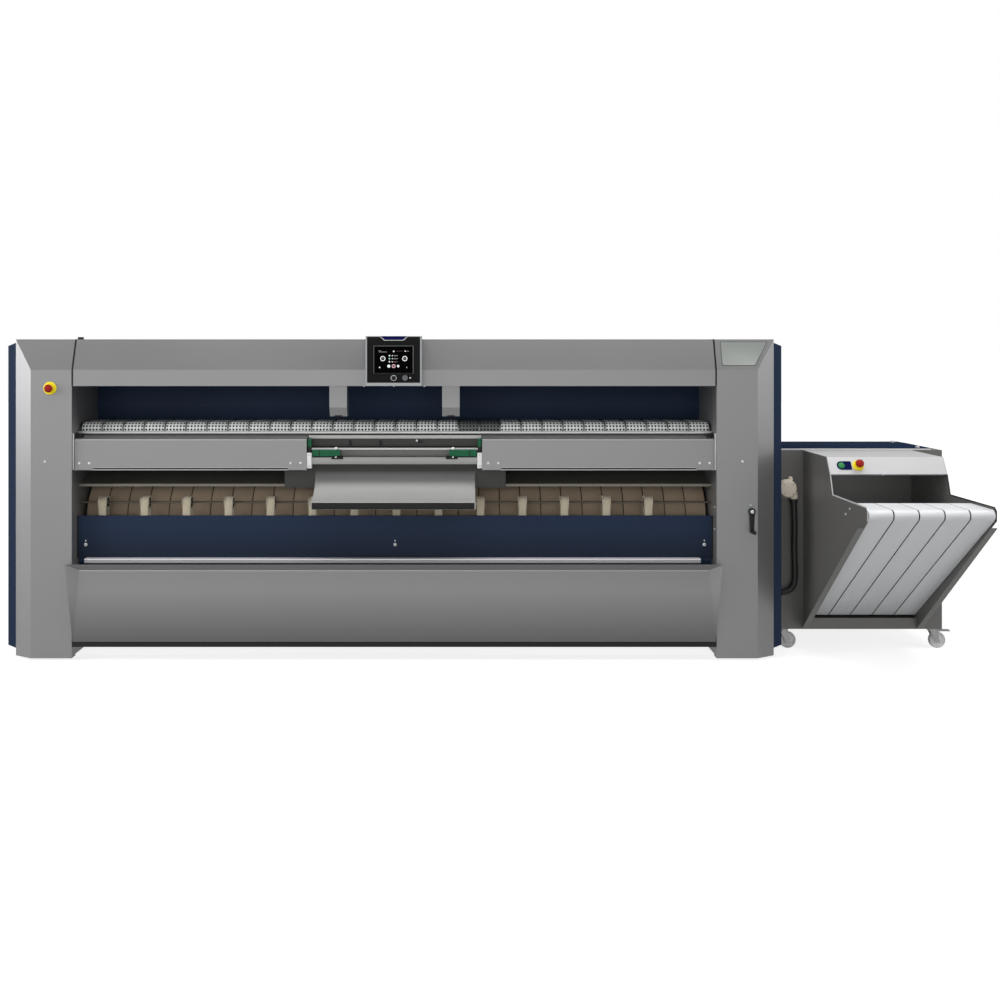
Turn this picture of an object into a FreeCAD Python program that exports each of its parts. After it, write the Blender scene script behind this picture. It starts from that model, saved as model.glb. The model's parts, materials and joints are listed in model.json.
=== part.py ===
import FreeCAD, Part
import math
import os
import re
from types import SimpleNamespace

import Sketcher
from FreeCAD import Placement, Rotation, Vector

# Flatwork ironer with a stacker docked at its right side, in millimetres.
# X runs across the feeding side, Y from the front to the back, Z up from the floor. The lengths below are
# measured from the middle of the ironer, from the front face of its columns and from the floor. The
# finished pieces are then moved so that the origin lies on the floor under the middle of the whole machine.
SIZES = [
    ("clear_width", 3676, "clear width between the two side frames"),
    ("column_face", 234, "width of a column's flat front"),
    ("column_bevel", 109, "width of the slanted outer strip beside it"),
    ("bevel_depth", 60, "depth of the slanted strip and of the slanted top"),
    ("side_cover", 44, "thickness of a side panel"),
    ("machine_depth", 1300, "depth of the ironer"),
    ("machine_height", 1834, "height of the ironer without its control panel"),
    ("fold_drop", 174, "distance from the top to the line where the front leans back"),
    ("column_lift", 15, "height of a column's lower edge"),
    ("skin", 3, "sheet metal thickness of the covers"),
    ("seam", 5, "open joint between two covers"),
    ("fit", 0.3, "clearance between parts that meet or move"),
    ("overrun", 1, "how far a cutting tool passes its face"),
    ("frame_plate", 6, "thickness of a side frame's plate"),
    ("post_width", 80, "width of a side frame's posts"),
    ("post_inset", 90, "distance of a post from the front or back"),
    ("post_drop", 134, "distance of the posts' tops from the top of the ironer"),
    ("foot_channel", 20, "height of the channel over the feet"),
    ("channel_width", 100, "depth of that channel"),
    ("foot_across", 2038, "distance of the feet from the middle"),
    ("foot_inset", 110, "distance of the feet from the front or back"),
    ("foot_radius", 35, "radius of a foot"),
    ("foot_height", 10, "height of a foot's disc"),
    ("stem_radius", 10, "radius of a foot's stem"),
    ("panel_low", 58, "lower edge of a side panel"),
    ("panel_high", 1814, "upper edge of a side panel"),
    ("panel_slope", 18, "height of a side panel's slanted ends"),
    ("beam_height", 267, "height of the top beam"),
    ("beam_back", 640, "rear edge of the top beam"),
    ("beam_hem", 40, "turned-down rear edge of the top beam"),
    ("member_wall", 5, "wall of the cross members"),
    ("member_height", 120, "height of the upper cross members"),
    ("member_depth", 120, "depth of the upper cross members"),
    ("hood_front", 460, "front of the hood's flange, and back of the front member"),
    ("hood_drop", 44, "distance of the hood's flange from the top"),
    ("hood_flange", 150, "height of the hood's flange"),
    ("hood_bulge_depth", 428, "most forward point of the hood"),
    ("hood_bulge_height", 1428, "height of that point"),
    ("hood_foot_depth", 438, "where the hood turns under"),
    ("hood_foot_height", 1350, "height of that turn"),
    ("hood_end_depth", 520, "lower end of the hood"),
    ("hood_end_height", 1290, "height of the lower end"),
    ("arm_across", 323, "distance of the sensor arms from the middle"),
    ("arm_width", 100, "width of a sensor arm"),
    ("arm_front", 30, "front of a sensor arm"),
    ("arm_back", 120, "back of a sensor arm"),
    ("arm_length", 124, "length of a sensor arm's upright front"),
    ("arm_chin", 52, "height of its slanted end"),
    ("control_width", 316, "width of the control panel"),
    ("control_reach", 60, "how far the control panel stands out"),
    ("control_rise", 17, "how far the control panel stands above the ironer"),
    ("control_lap", 10, "how far it laps onto the top"),
    ("control_edge", 8, "rim at the sides of its black face"),
    ("control_foot", 17, "rim below its black face"),
    ("control_brow", 4, "rim above its black face"),
    ("control_hollow", 50, "depth of its housing"),
    ("fascia_skin", 4, "thickness of its black face"),
    ("screen_width", 232, "width of the touch screen"),
    ("screen_drop", 51, "distance of the screen from the control panel's top"),
    ("screen_height", 162, "height of the screen"),
    ("screen_rise", 1.5, "how far the screen's rim stands out"),
    ("power_across", 65, "place of the power button"),
    ("power_drop", 236, "distance of the power button from the control panel's top"),
    ("power_radius", 16, "radius of the power button"),
    ("power_rise", 6, "how far the power button stands out"),
    ("crank_across", 2037, "place of the hand crank"),
    ("crank_height", 852, "height of the hand crank's axis"),
    ("crank_arm", 112, "length of the crank arm"),
    ("crank_width", 24, "width of the crank arm"),
    ("crank_skin", 10, "thickness of the crank arm"),
    ("crank_hub", 18, "radius of the crank's hub"),
    ("crank_shaft", 8, "radius of the crank's shaft"),
    ("bearing_flange", 22, "radius of the crank bearing's flange"),
    ("bearing_sleeve", 14, "radius of the crank bearing's sleeve"),
    ("bearing_rise", 8, "height of the crank bearing's flange"),
    ("bearing_length", 32, "length of the crank bearing's sleeve"),
    ("grip_radius", 11, "radius of the crank's grip"),
    ("grip_length", 58, "length of the crank's grip"),
    ("stop_across", 1961, "place of the emergency stop on the left column"),
    ("stop_drop", 280, "distance of the emergency stop from the top"),
    ("stop_ring", 37, "radius of an emergency stop's ring"),
    ("stop_rise", 12, "height of that ring"),
    ("stop_neck", 12, "radius of an emergency stop's neck"),
    ("stop_head", 23, "radius of an emergency stop's head"),
    ("stop_gap", 12, "free neck under the head"),
    ("stop_crown", 18, "height of the head"),
    ("feed_pitch", 121.8, "pitch of the feed belts and ironing belts"),
    ("belt_width", 116, "width of a belt"),
    ("belt_count", 30, "number of feed belts, and of ironing belts"),
    ("belt_skin", 2, "thickness of a belt"),
    ("belt_air", 0.6, "clearance between a belt and its rollers"),
    ("feed_radius", 40, "radius of the feed rollers"),
    ("feed_front", 165, "axis of the front feed roller"),
    ("feed_back", 350, "axis of the rear feed roller"),
    ("feed_height", 1310, "height of the feed rollers' axes"),
    ("shaft_radius", 12, "radius of the rollers' shaft ends"),
    ("roller_end", 12, "free shaft between a roller and its side frame"),
    ("suction_front", 212, "front of the suction box"),
    ("suction_back", 303, "back of the suction box"),
    ("suction_half", 37, "half the height of the suction box"),
    ("feeder_front", 20, "front of the feeder covers"),
    ("feeder_low", 1092, "lower edge of the feeder covers"),
    ("feeder_high", 1261, "where the feeder covers lean back"),
    ("feeder_window", 502, "half the width of the open middle"),
    ("feeder_end", 9, "width of the feeder's end brackets"),
    ("rail_front", 104, "front of the feed rail"),
    ("rail_back", 118, "back of the feed rail"),
    ("rail_low", 1280, "lower edge of the feed rail"),
    ("rail_high", 1302, "upper edge of the feed rail"),
    ("feeder_beam_front", 84, "front of the beam behind the feeder covers"),
    ("guide_front", 30, "front of the clamp rails"),
    ("guide_low", 1118, "bottom of the lower clamp rail"),
    ("guide_mid", 1157, "top of the lower clamp rail"),
    ("guide_high", 1200, "bottom of the upper clamp rail"),
    ("guide_top", 1213, "top of the upper clamp rail"),
    ("block_width", 27, "width of the clamp rails' end blocks"),
    ("block_front", 22, "front of the end blocks"),
    ("block_top", 1184, "top of the end blocks"),
    ("clamp_outer", 471, "outer end of a clamp at rest"),
    ("clamp_length", 158, "length of a clamp"),
    ("clamp_depth", 34, "depth of a clamp"),
    ("shoe_inset", 30, "distance of a shoe from its clamp's ends"),
    ("shoe_depth", 22, "depth of a shoe"),
    ("guide_edge", 3, "how far the uprights stand back from their blocks"),
    ("guide_setback", 20, "setback of the upper clamp rail"),
    ("guide_depth", 12, "depth of the upper clamp rail"),
    ("clamp_shoe", 6, "height of a clamp's shoe"),
    ("chute_half", 462, "half the width of the chute"),
    ("chute_back", 97, "back of the chute"),
    ("chute_reach", 197, "reach of the chute"),
    ("chute_top", 1072, "top of the chute"),
    ("chute_drop", 151, "fall of the chute"),
    ("chute_lip", 44, "height of the chute's front lip"),
    ("shield_half", 640, "half the width of the plate behind the chute"),
    ("shield_low", 975, "lower edge of that plate"),
    ("return_front", 121, "front of the return rail"),
    ("return_back", 129, "back of the return rail"),
    ("return_low", 979, "lower edge of the return rail"),
    ("return_high", 995, "upper edge of the return rail"),
    ("deck_knee_depth", 210, "bend of the return deck"),
    ("deck_knee_height", 1012, "height of that bend"),
    ("deck_end_depth", 420, "rear end of the return deck"),
    ("deck_end_rise", 315, "height of the rear end above the cylinder's axis"),
    ("cylinder_radius", 239.5, "outer radius of the heated cylinder"),
    ("cylinder_wall", 12, "wall of the heated cylinder"),
    ("cylinder_depth", 445, "place of the cylinder's axis"),
    ("cylinder_height", 760, "height of the cylinder's axis"),
    ("cylinder_end", 20, "thickness of the cylinder's end discs"),
    ("journal_radius", 45, "radius of the cylinder's journals"),
    ("journal_bore", 25, "bore of the journals"),
    ("journal_length", 230, "length of a journal outside its end disc"),
    ("journal_hole", 60, "hole for a journal in the side frame"),
    ("housing_half", 90, "half the size of a cylinder bearing"),
    ("housing_depth", 50, "depth of a cylinder bearing"),
    ("tension_radius", 60, "radius of the tension roller"),
    ("tension_depth", 900, "place of the tension roller's axis"),
    ("pulley_radius", 32, "radius of the tape pulleys"),
    ("pulley_flange", 3, "thickness of a pulley's flanges"),
    ("pulley_rim", 5, "how far those flanges stand above the tape"),
    ("pulley_depth", 137, "place of the tape pulleys' axes"),
    ("pulley_high", 886, "height of the upper pulleys' axis"),
    ("pulley_low", 640, "height of the lower pulleys' axis"),
    ("pulley_shaft", 6, "radius of the pulleys' shafts"),
    ("tape_width", 44, "width between a pulley's flanges"),
    ("tape_side", 0.6, "clearance between a tape and those flanges"),
    ("tape_shift", 7, "how far the row of tapes is moved to the right"),
    ("tape_skin", 2, "thickness of a tape"),
    ("tape_count", 14, "number of tapes"),
    ("guard_front", 85, "front of the lower guard"),
    ("guard_low", 570, "lower edge of the lower guard"),
    ("guard_high", 815, "upper edge of the lower guard"),
    ("guard_hem", 9, "turned-back edges of the lower guard"),
    ("bumper_half", 1770, "half the width of the bumper rail"),
    ("bumper_front", 40, "front of the bumper rail"),
    ("bumper_low", 549, "lower edge of the bumper rail"),
    ("bumper_high", 575, "upper edge of the bumper rail"),
    ("tray_half", 1832, "half the width of the catch tray's foot"),
    ("tray_lip_half", 1862, "half the width of its lip"),
    ("tray_fold_half", 1795, "half the width of its fold"),
    ("tray_front", 5, "how far its face stands out"),
    ("tray_reach", 45, "how far its lip stands out"),
    ("tray_skin", 4, "its sheet, measured front to back"),
    ("tray_low", 111, "its lower edge"),
    ("tray_fold", 520, "height of its fold"),
    ("tray_lip", 558, "height of its lip"),
    ("base_low", 80, "bottom of the base members"),
    ("base_high", 160, "top of the base members"),
    ("rear_low", 80, "lower edge of the rear panel"),
    ("spigot_radius", 100, "outer radius of the exhaust spigot"),
    ("spigot_length", 60, "length of the exhaust spigot"),
    ("spigot_height", 1500, "height of the exhaust spigot"),
    ("spigot_flange", 30, "width of the exhaust spigot's flange"),
    ("gearbox_half", 110, "half the size of the gearmotor's gearbox"),
    ("gearbox_depth", 130, "depth of the gearbox"),
    ("motor_radius", 70, "radius of the motor"),
    ("motor_length", 300, "length of the motor"),
    ("screw_radius", 7, "radius of a cover screw's head"),
    ("screw_rise", 3, "height of a cover screw's head"),
    ("screw_near", 22, "distance of a feeder cover's first inner screw from its end"),
    ("screw_step", 38, "distance between two screws"),
    ("screw_end", 20, "distance of its outer screw from its other end"),
    ("screw_low", 24, "height of the screws above the cover's lower edge"),
    ("bolt_front", 515, "how far the front bolt on the hopper wall stands out"),
    ("bolt_front_height", 944, "its height"),
    ("bolt_back", 457, "how far the rear bolt on the hopper wall stands out"),
    ("bolt_back_height", 907, "its height"),
    ("screw_left", 1991, "place of the screw on the left column"),
    ("screw_right", 1986, "place of the screw on the right column"),
    ("column_screw", 1136, "height of the screws on the columns"),
    ("latch_radius", 10, "radius of a guard latch"),
    ("latch_height", 648, "height of the guard latches"),
    ("latch_inset", 50, "distance of the outer latches from the guard's ends"),
    ("dock_gap", 37, "distance between the ironer and the stacker"),
    ("cabinet_width", 966, "width of the stacker cabinet"),
    ("cabinet_front", 230, "front of the stacker cabinet"),
    ("cabinet_back", 760, "back of the stacker cabinet"),
    ("dock_depth", 560, "front of the bracket that docks the stacker"),
    ("dock_width", 100, "width of that bracket"),
    ("dock_low", 500, "its lower edge"),
    ("dock_high", 700, "its upper edge"),
    ("cabinet_low", 122, "bottom of the stacker cabinet"),
    ("cabinet_high", 1180, "top of the stacker cabinet"),
    ("hopper_side", 146, "distance of the hopper's left wall from the cabinet's edge"),
    ("hopper_width", 637, "clear width of the hopper"),
    ("hopper_tip", 753, "reach of the hopper's walls"),
    ("hopper_brow", 172, "reach of the console's top"),
    ("console_chin", 226, "reach of the console's lower edge"),
    ("console_return", 34, "depth of the flange under the console"),
    ("console_sink", 10, "how far that flange drops"),
    ("console_low", 1090, "height of the console's lower edge"),
    ("hopper_step", 263, "where the hopper's upper edge begins"),
    ("hopper_rim", 984, "height of that edge"),
    ("hopper_chamfer", 18, "chamfer at the walls' upper front corner"),
    ("hopper_nose", 915, "height of the lower front corner"),
    ("hopper_heel", 157, "where the slanted edge ends"),
    ("hopper_foot", 141, "height of that end"),
    ("hopper_flange", 30, "width of the hopper walls' flanges"),
    ("flange_rise", 3.9, "height of those flanges' slanted section"),
    ("flange_back", 52, "distance of a flange's upper end from the wall's tip"),
    ("hopper_reach", 756, "most forward point of the stacker belts"),
    ("head_height", 941, "height of the head roller's axis"),
    ("head_radius", 28, "radius of the head roller and of the rail behind it"),
    ("rail_back_off", 220, "distance of that rail's axis from the head roller's"),
    ("table_skin", 14, "thickness of the table between them"),
    ("tail_depth", 190, "place of the tail roller's axis"),
    ("tail_height", 262, "height of the tail roller's axis"),
    ("stack_radius", 42, "radius of the tail roller"),
    ("stack_count", 5, "number of stacker belts"),
    ("button_depth", 7, "how far the buttons' holes reach into the console"),
    ("stack_gap", 4, "gap between two stacker belts"),
    ("bed_skin", 30, "thickness of the slider bed"),
    ("bed_short", 70, "distance of the bed from the roller axes"),
    ("kick_high", 205, "top of the kick plate"),
    ("top_rise", 12, "thickness of the stacker's top cover"),
    ("top_length", 470, "length of the stacker's top cover"),
    ("top_side", 66, "distance of the top cover from the right edge"),
    ("start_across", 214, "place of the start button from the cabinet's left edge"),
    ("stacker_stop_across", 306, "place of the stacker's emergency stop"),
    ("start_radius", 15, "radius of the start button"),
    ("start_rise", 7, "height of the start button"),
    ("caster_side", 38, "distance of a caster's swivel from the cabinet's side"),
    ("caster_inset", 45, "distance of a caster's swivel from the front or back"),
    ("wheel_radius", 48, "radius of a caster wheel"),
    ("wheel_width", 30, "width of a caster wheel"),
    ("caster_trail", 26, "trail of a caster wheel"),
    ("brake_reach", 100, "reach of the brake pedal from its swivel"),
    ("fork_skin", 4, "thickness of a caster fork"),
    ("crown_gap", 8, "room between a wheel and its caster's crown"),
    ("leg_top", 22, "half the width of a fork leg at its top"),
    ("leg_foot", 14, "half the width of a fork leg at its foot"),
    ("leg_drop", 12, "how far a leg reaches below the axle"),
    ("leg_gap", 2, "room between a wheel and its fork's legs"),
    ("leg_lap", 2, "how far a leg reaches into the crown"),
    ("pedal_half", 16, "half the width of the brake pedal"),
    ("pedal_skin", 6, "thickness of the brake pedal"),
    ("crown_radius", 30, "radius of a caster's crown"),
    ("axle_radius", 6, "radius of a caster's axle"),
    ("junction_across", 2302, "place of the junction box"),
    ("junction_height", 958, "height of the junction box"),
    ("junction_radius", 53, "radius of the junction box"),
    ("junction_depth", 60, "depth of the junction box"),
    ("cable_across", 2341, "place where the cable leaves the junction box"),
    ("cable_depth", 200, "distance of the cable from the front"),
    ("cable_exit", 893, "height where the cable leaves the junction box"),
    ("cable_entry", 344.3, "height where the cable enters the side panel"),
    ("cable_radius", 17, "radius of the cable"),
    ("gland_radius", 21, "radius of a cable gland"),
    ("gland_drop", 42, "height of the junction box's gland"),
    ("gland_length", 23, "length of the side panel's gland"),
]

doc = FreeCAD.newDocument("flatwork_ironer")
sheet = doc.addObject("Spreadsheet::Sheet", "sizes")
for row, (alias, number, note) in enumerate(SIZES, 1):
    sheet.set(f"A{row}", note)
    sheet.set(f"B{row}", str(number))
    sheet.setAlias(f"B{row}", alias)
doc.recompute()
s = SimpleNamespace(**{alias: float(number) for alias, number, note in SIZES})

# Formulas that several pieces share.
CHEEK = "clear_width / 2"
SHELL = "(clear_width / 2 + column_face + column_bevel)"
OUTER = f"({SHELL} + side_cover)"
ROOF = "(machine_height - skin)"
CABINET = f"({OUTER} + dock_gap)"
CABINET_END = f"({CABINET} + cabinet_width)"
HOPPER = f"({CABINET} + hopper_side)"
HOPPER_END = f"({HOPPER} + hopper_width)"
FOOT_TOP = "(column_lift + foot_height)"
FOLD = "(machine_height - fold_drop)"
BEAM_LOW = "(machine_height - beam_height)"
MID_X = "(dock_gap + cabinet_width + brake_reach - caster_side) / 2"
MID_Y = "(machine_depth + spigot_length - hopper_reach) / 2"
MIDDLE = Vector(
    (s.dock_gap + s.cabinet_width + s.brake_reach - s.caster_side) / 2,
    (s.machine_depth + s.spigot_length - s.hopper_reach) / 2,
    0,
)
SIDES = (("left", -1), ("right", 1))
TURNS = {"x": Rotation(Vector(0, 1, 0), 90), "y": Rotation(Vector(1, 0, 0), -90), "z": Rotation()}
PLANES = {"yz": Rotation(Vector(1, 1, 1), 120), "xz": Rotation(Vector(1, 0, 0), 90), "xy": Rotation()}

parts = []


def bind(thing, path, text):
    """Ties one property to a formula whose words are names in the sheet."""
    names = set(vars(s))
    formula = re.sub(r"[a-z_]{3,}", lambda word: f"sizes.{word[0]}" if word[0] in names else word[0], str(text))
    thing.setExpression(path, formula)


def place(thing, x="0", y="0", z="0", turn=None):
    """Turns a thing and puts its own origin at a point of the machine."""
    if turn:
        thing.Placement = Placement(Vector(), turn)
    bind(thing, "Placement.Base.x", f"{x} - {MID_X}")
    bind(thing, "Placement.Base.y", f"{y} - {MID_Y}")
    bind(thing, "Placement.Base.z", z)


def mirrored(sign, near, far):
    """The span from near to far on the right, or its mirror image on the left."""
    return (near, far) if sign > 0 else (f"-({far})", f"-({near})")


def both_ways(half):
    """The span from minus half to plus half."""
    return f"-({half})", half


def box(x, y, z, name="block"):
    """A cuboid between three pairs of faces."""
    thing = doc.addObject("Part::Box", name)
    for path, (low, high) in (("Length", x), ("Width", y), ("Height", z)):
        bind(thing, path, f"({high}) - ({low})")
    place(thing, x[0], y[0], z[0])
    return thing


def rod(axis, span, centre, radius, name="rod"):
    """A cylinder along one axis; the centre gives its other two coordinates."""
    thing = doc.addObject("Part::Cylinder", name)
    bind(thing, "Radius", radius)
    bind(thing, "Height", f"({span[1]}) - ({span[0]})")
    where = list(centre)
    where.insert("xyz".index(axis), span[0])
    place(thing, *where, turn=TURNS[axis])
    return thing


def outline(points, closed=True):
    """A sketch of straight lines whose corners are pairs of formulas."""
    sketch = doc.addObject("Sketcher::SketchObject", "outline")
    count = len(points)
    lines = count if closed else count - 1
    start = [Vector(math.cos(math.tau * i / count), math.sin(math.tau * i / count), 0) * 100 for i in range(count)]
    for i in range(lines):
        sketch.addGeometry(Part.LineSegment(start[i], start[(i + 1) % count]))
    for i in range(lines if closed else lines - 1):
        sketch.addConstraint(Sketcher.Constraint("Coincident", i, 2, (i + 1) % count, 1))
    for i, point in enumerate(points):
        line, end = (i, 1) if i < lines else (i - 1, 2)
        for kind, text in zip(("DistanceX", "DistanceY"), point):
            number = sketch.addConstraint(Sketcher.Constraint(kind, -1, 1, line, end, 50.0))
            bind(sketch, f"Constraints[{number}]", text)
    return sketch


def prism(points, span, plane="yz", bent=None, name="prism"):
    """A bar of constant section: a closed outline, or a bent sheet that lies to one side of an open one."""
    section = outline(points, closed=bent is None)
    section.Placement = Placement(Vector(), PLANES[plane])
    if bent:
        sheet_metal = doc.addObject("Part::Offset2D", "bent_sheet")
        sheet_metal.Source = section
        sheet_metal.Mode = "Skin"
        sheet_metal.Join = "Intersection"
        sheet_metal.Fill = True
        bind(sheet_metal, "Value", bent)
        section = sheet_metal
    bar = doc.addObject("Part::Extrusion", name)
    bar.Base = section
    bar.DirMode = "Custom"
    bar.Dir = Vector(1, 0, 0) if plane == "yz" else Vector(0, 1, 0)
    bar.Solid = True
    bind(bar, "LengthFwd", f"({span[1]}) - ({span[0]})")
    if plane == "yz":
        place(bar, x=span[0])
    else:
        place(bar, y=span[0])
    return bar


def fuse(*things):
    """One solid from several that overlap."""
    whole = doc.addObject("Part::MultiFuse", "joined")
    whole.Shapes = list(things)
    return whole


def cut(base, *tools):
    """A solid with others taken out of it."""
    rest = doc.addObject("Part::Cut", "cut")
    rest.Base = base
    rest.Tool = tools[0] if len(tools) == 1 else fuse(*tools)
    return rest


def group(*things):
    """Separate solids that are kept together."""
    several = doc.addObject("Part::Compound", "group")
    several.Links = list(things)
    return several


def solid(shape, name="shape"):
    """A shape worked out from the sheet's sizes."""
    thing = doc.addObject("Part::Feature", name)
    thing.Shape = shape
    thing.Placement = Placement(MIDDLE * -1, Rotation())
    return thing


def part(label, thing):
    """Names a finished piece."""
    thing.Label = label
    parts.append(thing)


def tube(x, y, z, wall="member_wall", along="x"):
    """A box section that is open at its two ends."""
    spans = {"x": x, "y": y, "z": z}
    inner = {
        axis: (f"{low} - overrun", f"{high} + overrun") if axis == along else (f"{low} + {wall}", f"{high} - {wall}")
        for axis, (low, high) in spans.items()
    }
    return cut(box(x, y, z), box(inner["x"], inner["y"], inner["z"]))


def roller(radius, centre, half, reach, shaft="shaft_radius"):
    """A roller across the machine with a shaft end at each side."""
    return fuse(rod("x", both_ways(half), centre, radius), rod("x", both_ways(reach), centre, shaft))


def belt_wire(circles, low):
    """The closed line around circles given as depth, height and radius, listed clockwise seen from the right."""

    def on_circle(circle, angle):
        y, z, radius = circle
        return Vector(low, y + radius * math.cos(angle), z + radius * math.sin(angle))

    count = len(circles)
    angles = []
    for (y0, z0, r0), (y1, z1, r1) in zip(circles, circles[1:] + circles[:1]):
        away = math.atan2(z1 - z0, y1 - y0)
        angles.append(away + math.acos((r0 - r1) / math.hypot(y1 - y0, z1 - z0)))
    edges = []
    for i, angle in enumerate(angles):
        circle, onward = circles[(i + 1) % count], angles[(i + 1) % count]
        wrap = (angle - onward) % math.tau
        reach = on_circle(circle, angle)
        edges.append(Part.LineSegment(on_circle(circles[i], angle), reach).toShape())
        edges.append(Part.Arc(reach, on_circle(circle, angle - wrap / 2), on_circle(circle, onward)).toShape())
    return Part.Wire(edges)


def belt_loop(circles, air, thickness, low, width):
    """A flat belt that runs around circles, clear of them by the given air."""
    inside = belt_wire([(y, z, radius + air) for y, z, radius in circles], low)
    outside = belt_wire([(y, z, radius + air + thickness) for y, z, radius in circles], low)
    ring = Part.Face(outside).extrude(Vector(width, 0, 0)).cut(Part.Face(inside).extrude(Vector(width, 0, 0)))
    return ring.Solids[0]


# ---------------------------------------------------------------- side frames and cross members

UPPER = (f"{ROOF} - member_height", ROOF)
FRONT_MEMBER = ("hood_front - member_depth", "hood_front")
REAR_MEMBER = ("machine_depth - post_inset - member_depth", "machine_depth - post_inset")
BASE = ("base_low", "base_high")

for side, sign in SIDES:
    depth = ("bevel_depth + fit", "machine_depth - skin - fit")
    plate = box(mirrored(sign, CHEEK, f"{CHEEK} + frame_plate"), depth, (FOOT_TOP, f"{ROOF} - fit"))
    hole = rod(
        "x",
        mirrored(sign, f"{CHEEK} - overrun", f"{CHEEK} + frame_plate + overrun"),
        ("cylinder_depth", "cylinder_height"),
        "journal_hole",
    )
    members = [cut(plate, hole)]
    post = mirrored(sign, f"{CHEEK} + frame_plate", f"{CHEEK} + frame_plate + post_width")
    channel = mirrored(sign, f"{CHEEK} + frame_plate", f"{SHELL} - skin - fit")
    for y in ("post_inset", "machine_depth - post_inset - post_width"):
        members.append(box(post, (y, f"{y} + post_width"), (f"{FOOT_TOP} + foot_channel", "machine_height - post_drop")))
    for y in ("foot_inset", "machine_depth - foot_inset"):
        across = (f"{y} - channel_width / 2", f"{y} + channel_width / 2")
        members.append(box(channel, across, (FOOT_TOP, f"{FOOT_TOP} + foot_channel")))
    part(f"side_frame_{side}", fuse(*members))

inner_span = both_ways(f"{CHEEK} - fit")
part(
    "cross_members",
    group(
        tube(inner_span, FRONT_MEMBER, UPPER),
        tube(inner_span, REAR_MEMBER, UPPER),
        tube(inner_span, ("-tray_front + tray_skin", "post_inset"), BASE),
        tube(inner_span, REAR_MEMBER, BASE),
    ),
)

feet = []
for x in ("-foot_across", "foot_across"):
    for y in ("foot_inset", "machine_depth - foot_inset"):
        disc = rod("z", ("0", "foot_height"), (x, y), "foot_radius")
        feet.append(fuse(disc, rod("z", ("foot_height - overrun", FOOT_TOP), (x, y), "stem_radius")))
part("levelling_feet", group(*feet))

# ---------------------------------------------------------------- column covers and side panels


def bevelled(sign, inset, low, back):
    """A column's outer or inner body: a flat front, a slanted top and outer strip, and a straight rear."""
    face = mirrored(sign, f"{CHEEK} + {inset}", f"{CHEEK} + column_face - {inset}")
    full = mirrored(sign, f"{CHEEK} + {inset}", f"{SHELL} - {inset}")
    rings = []
    for x, top, y in ((face, f"{FOLD} - {inset}", inset), (full, f"machine_height - {inset}", "bevel_depth")):
        corners = [(x[0], low), (x[1], low), (x[1], top), (x[0], top)]
        ring = outline(corners)
        place(ring, y=y, turn=PLANES["xz"])
        rings.append(ring)
    bezel = doc.addObject("Part::Loft", "bezel")
    bezel.Sections = rings
    bezel.Solid = True
    bezel.Ruled = True
    return bezel, box(full, ("bevel_depth", back), (low, f"machine_height - {inset}"))


at_crank = ("crank_across", "crank_height")
at_stop = ("-stop_across", "machine_height - stop_drop")
for side, sign in SIDES:
    outer = fuse(*bevelled(sign, "0", "column_lift", "machine_depth"))
    bezel, rear = bevelled(sign, "skin", "(column_lift + skin)", "machine_depth + overrun")
    open_side = box(
        mirrored(sign, f"{CHEEK} - overrun", f"{SHELL} - skin"),
        ("bevel_depth", "machine_depth + overrun"),
        ("column_lift - overrun", ROOF),
    )
    tools = [bezel, rear, open_side]
    hole = ("-overrun", "skin + overrun")
    if side == "right":
        tools.append(rod("y", hole, at_crank, "bearing_sleeve + fit"))
    else:
        tools.append(rod("y", hole, at_stop, "stop_neck + fit"))
    part(f"column_cover_{side}", cut(outer, *tools))

gland_span = (OUTER, f"{OUTER} + gland_length")
for side, sign in SIDES:
    shells = []
    for inset in ("0", "skin"):
        near, far = mirrored(sign, SHELL if inset == "0" else f"{SHELL} - overrun", f"{OUTER} - {inset}")
        low, high = f"panel_low + {inset}", f"panel_high - {inset}"
        if sign > 0:
            corners = [(near, low), (far, f"{low} + panel_slope"), (far, f"{high} - panel_slope"), (near, high)]
        else:
            corners = [(far, low), (near, f"{low} + panel_slope"), (near, f"{high} - panel_slope"), (far, high)]
        span = (f"bevel_depth + {inset}", f"machine_depth - {inset}")
        shells.append(prism(corners, span, plane="xz"))
    shell = cut(*shells)
    if side == "right":
        shell = fuse(shell, rod("x", gland_span, ("cable_depth", "cable_entry"), "gland_radius"))
    part(f"side_panel_{side}", shell)

# ---------------------------------------------------------------- top beam, hood, rear panel

beam_path = [
    ("bevel_depth", BEAM_LOW),
    ("0", BEAM_LOW),
    ("0", FOLD),
    ("bevel_depth", "machine_height"),
    ("beam_back", "machine_height"),
    ("beam_back", "machine_height - beam_hem"),
]
part("top_beam_cover", prism(beam_path, both_ways(f"{CHEEK} - seam"), bent="skin"))

hood_path = [
    ("hood_front", "machine_height - hood_drop"),
    ("hood_front", "machine_height - hood_drop - hood_flange"),
    ("hood_bulge_depth", "hood_bulge_height"),
    ("hood_foot_depth", "hood_foot_height"),
    ("hood_end_depth", "hood_end_height"),
]
part("cylinder_hood", prism(hood_path, inner_span, bent="-skin"))

arm_section = [
    ("arm_front", BEAM_LOW),
    ("arm_front", f"{BEAM_LOW} - arm_length"),
    ("arm_front + arm_chin / 2", f"{BEAM_LOW} - arm_length - arm_chin"),
    ("arm_back", f"{BEAM_LOW} - arm_length - arm_chin"),
    ("arm_back", BEAM_LOW),
]
arms = [
    prism(arm_section, (f"{sign} * arm_across - arm_width / 2", f"{sign} * arm_across + arm_width / 2"))
    for side, sign in SIDES
]
part("sensor_arms", group(*arms))

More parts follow.
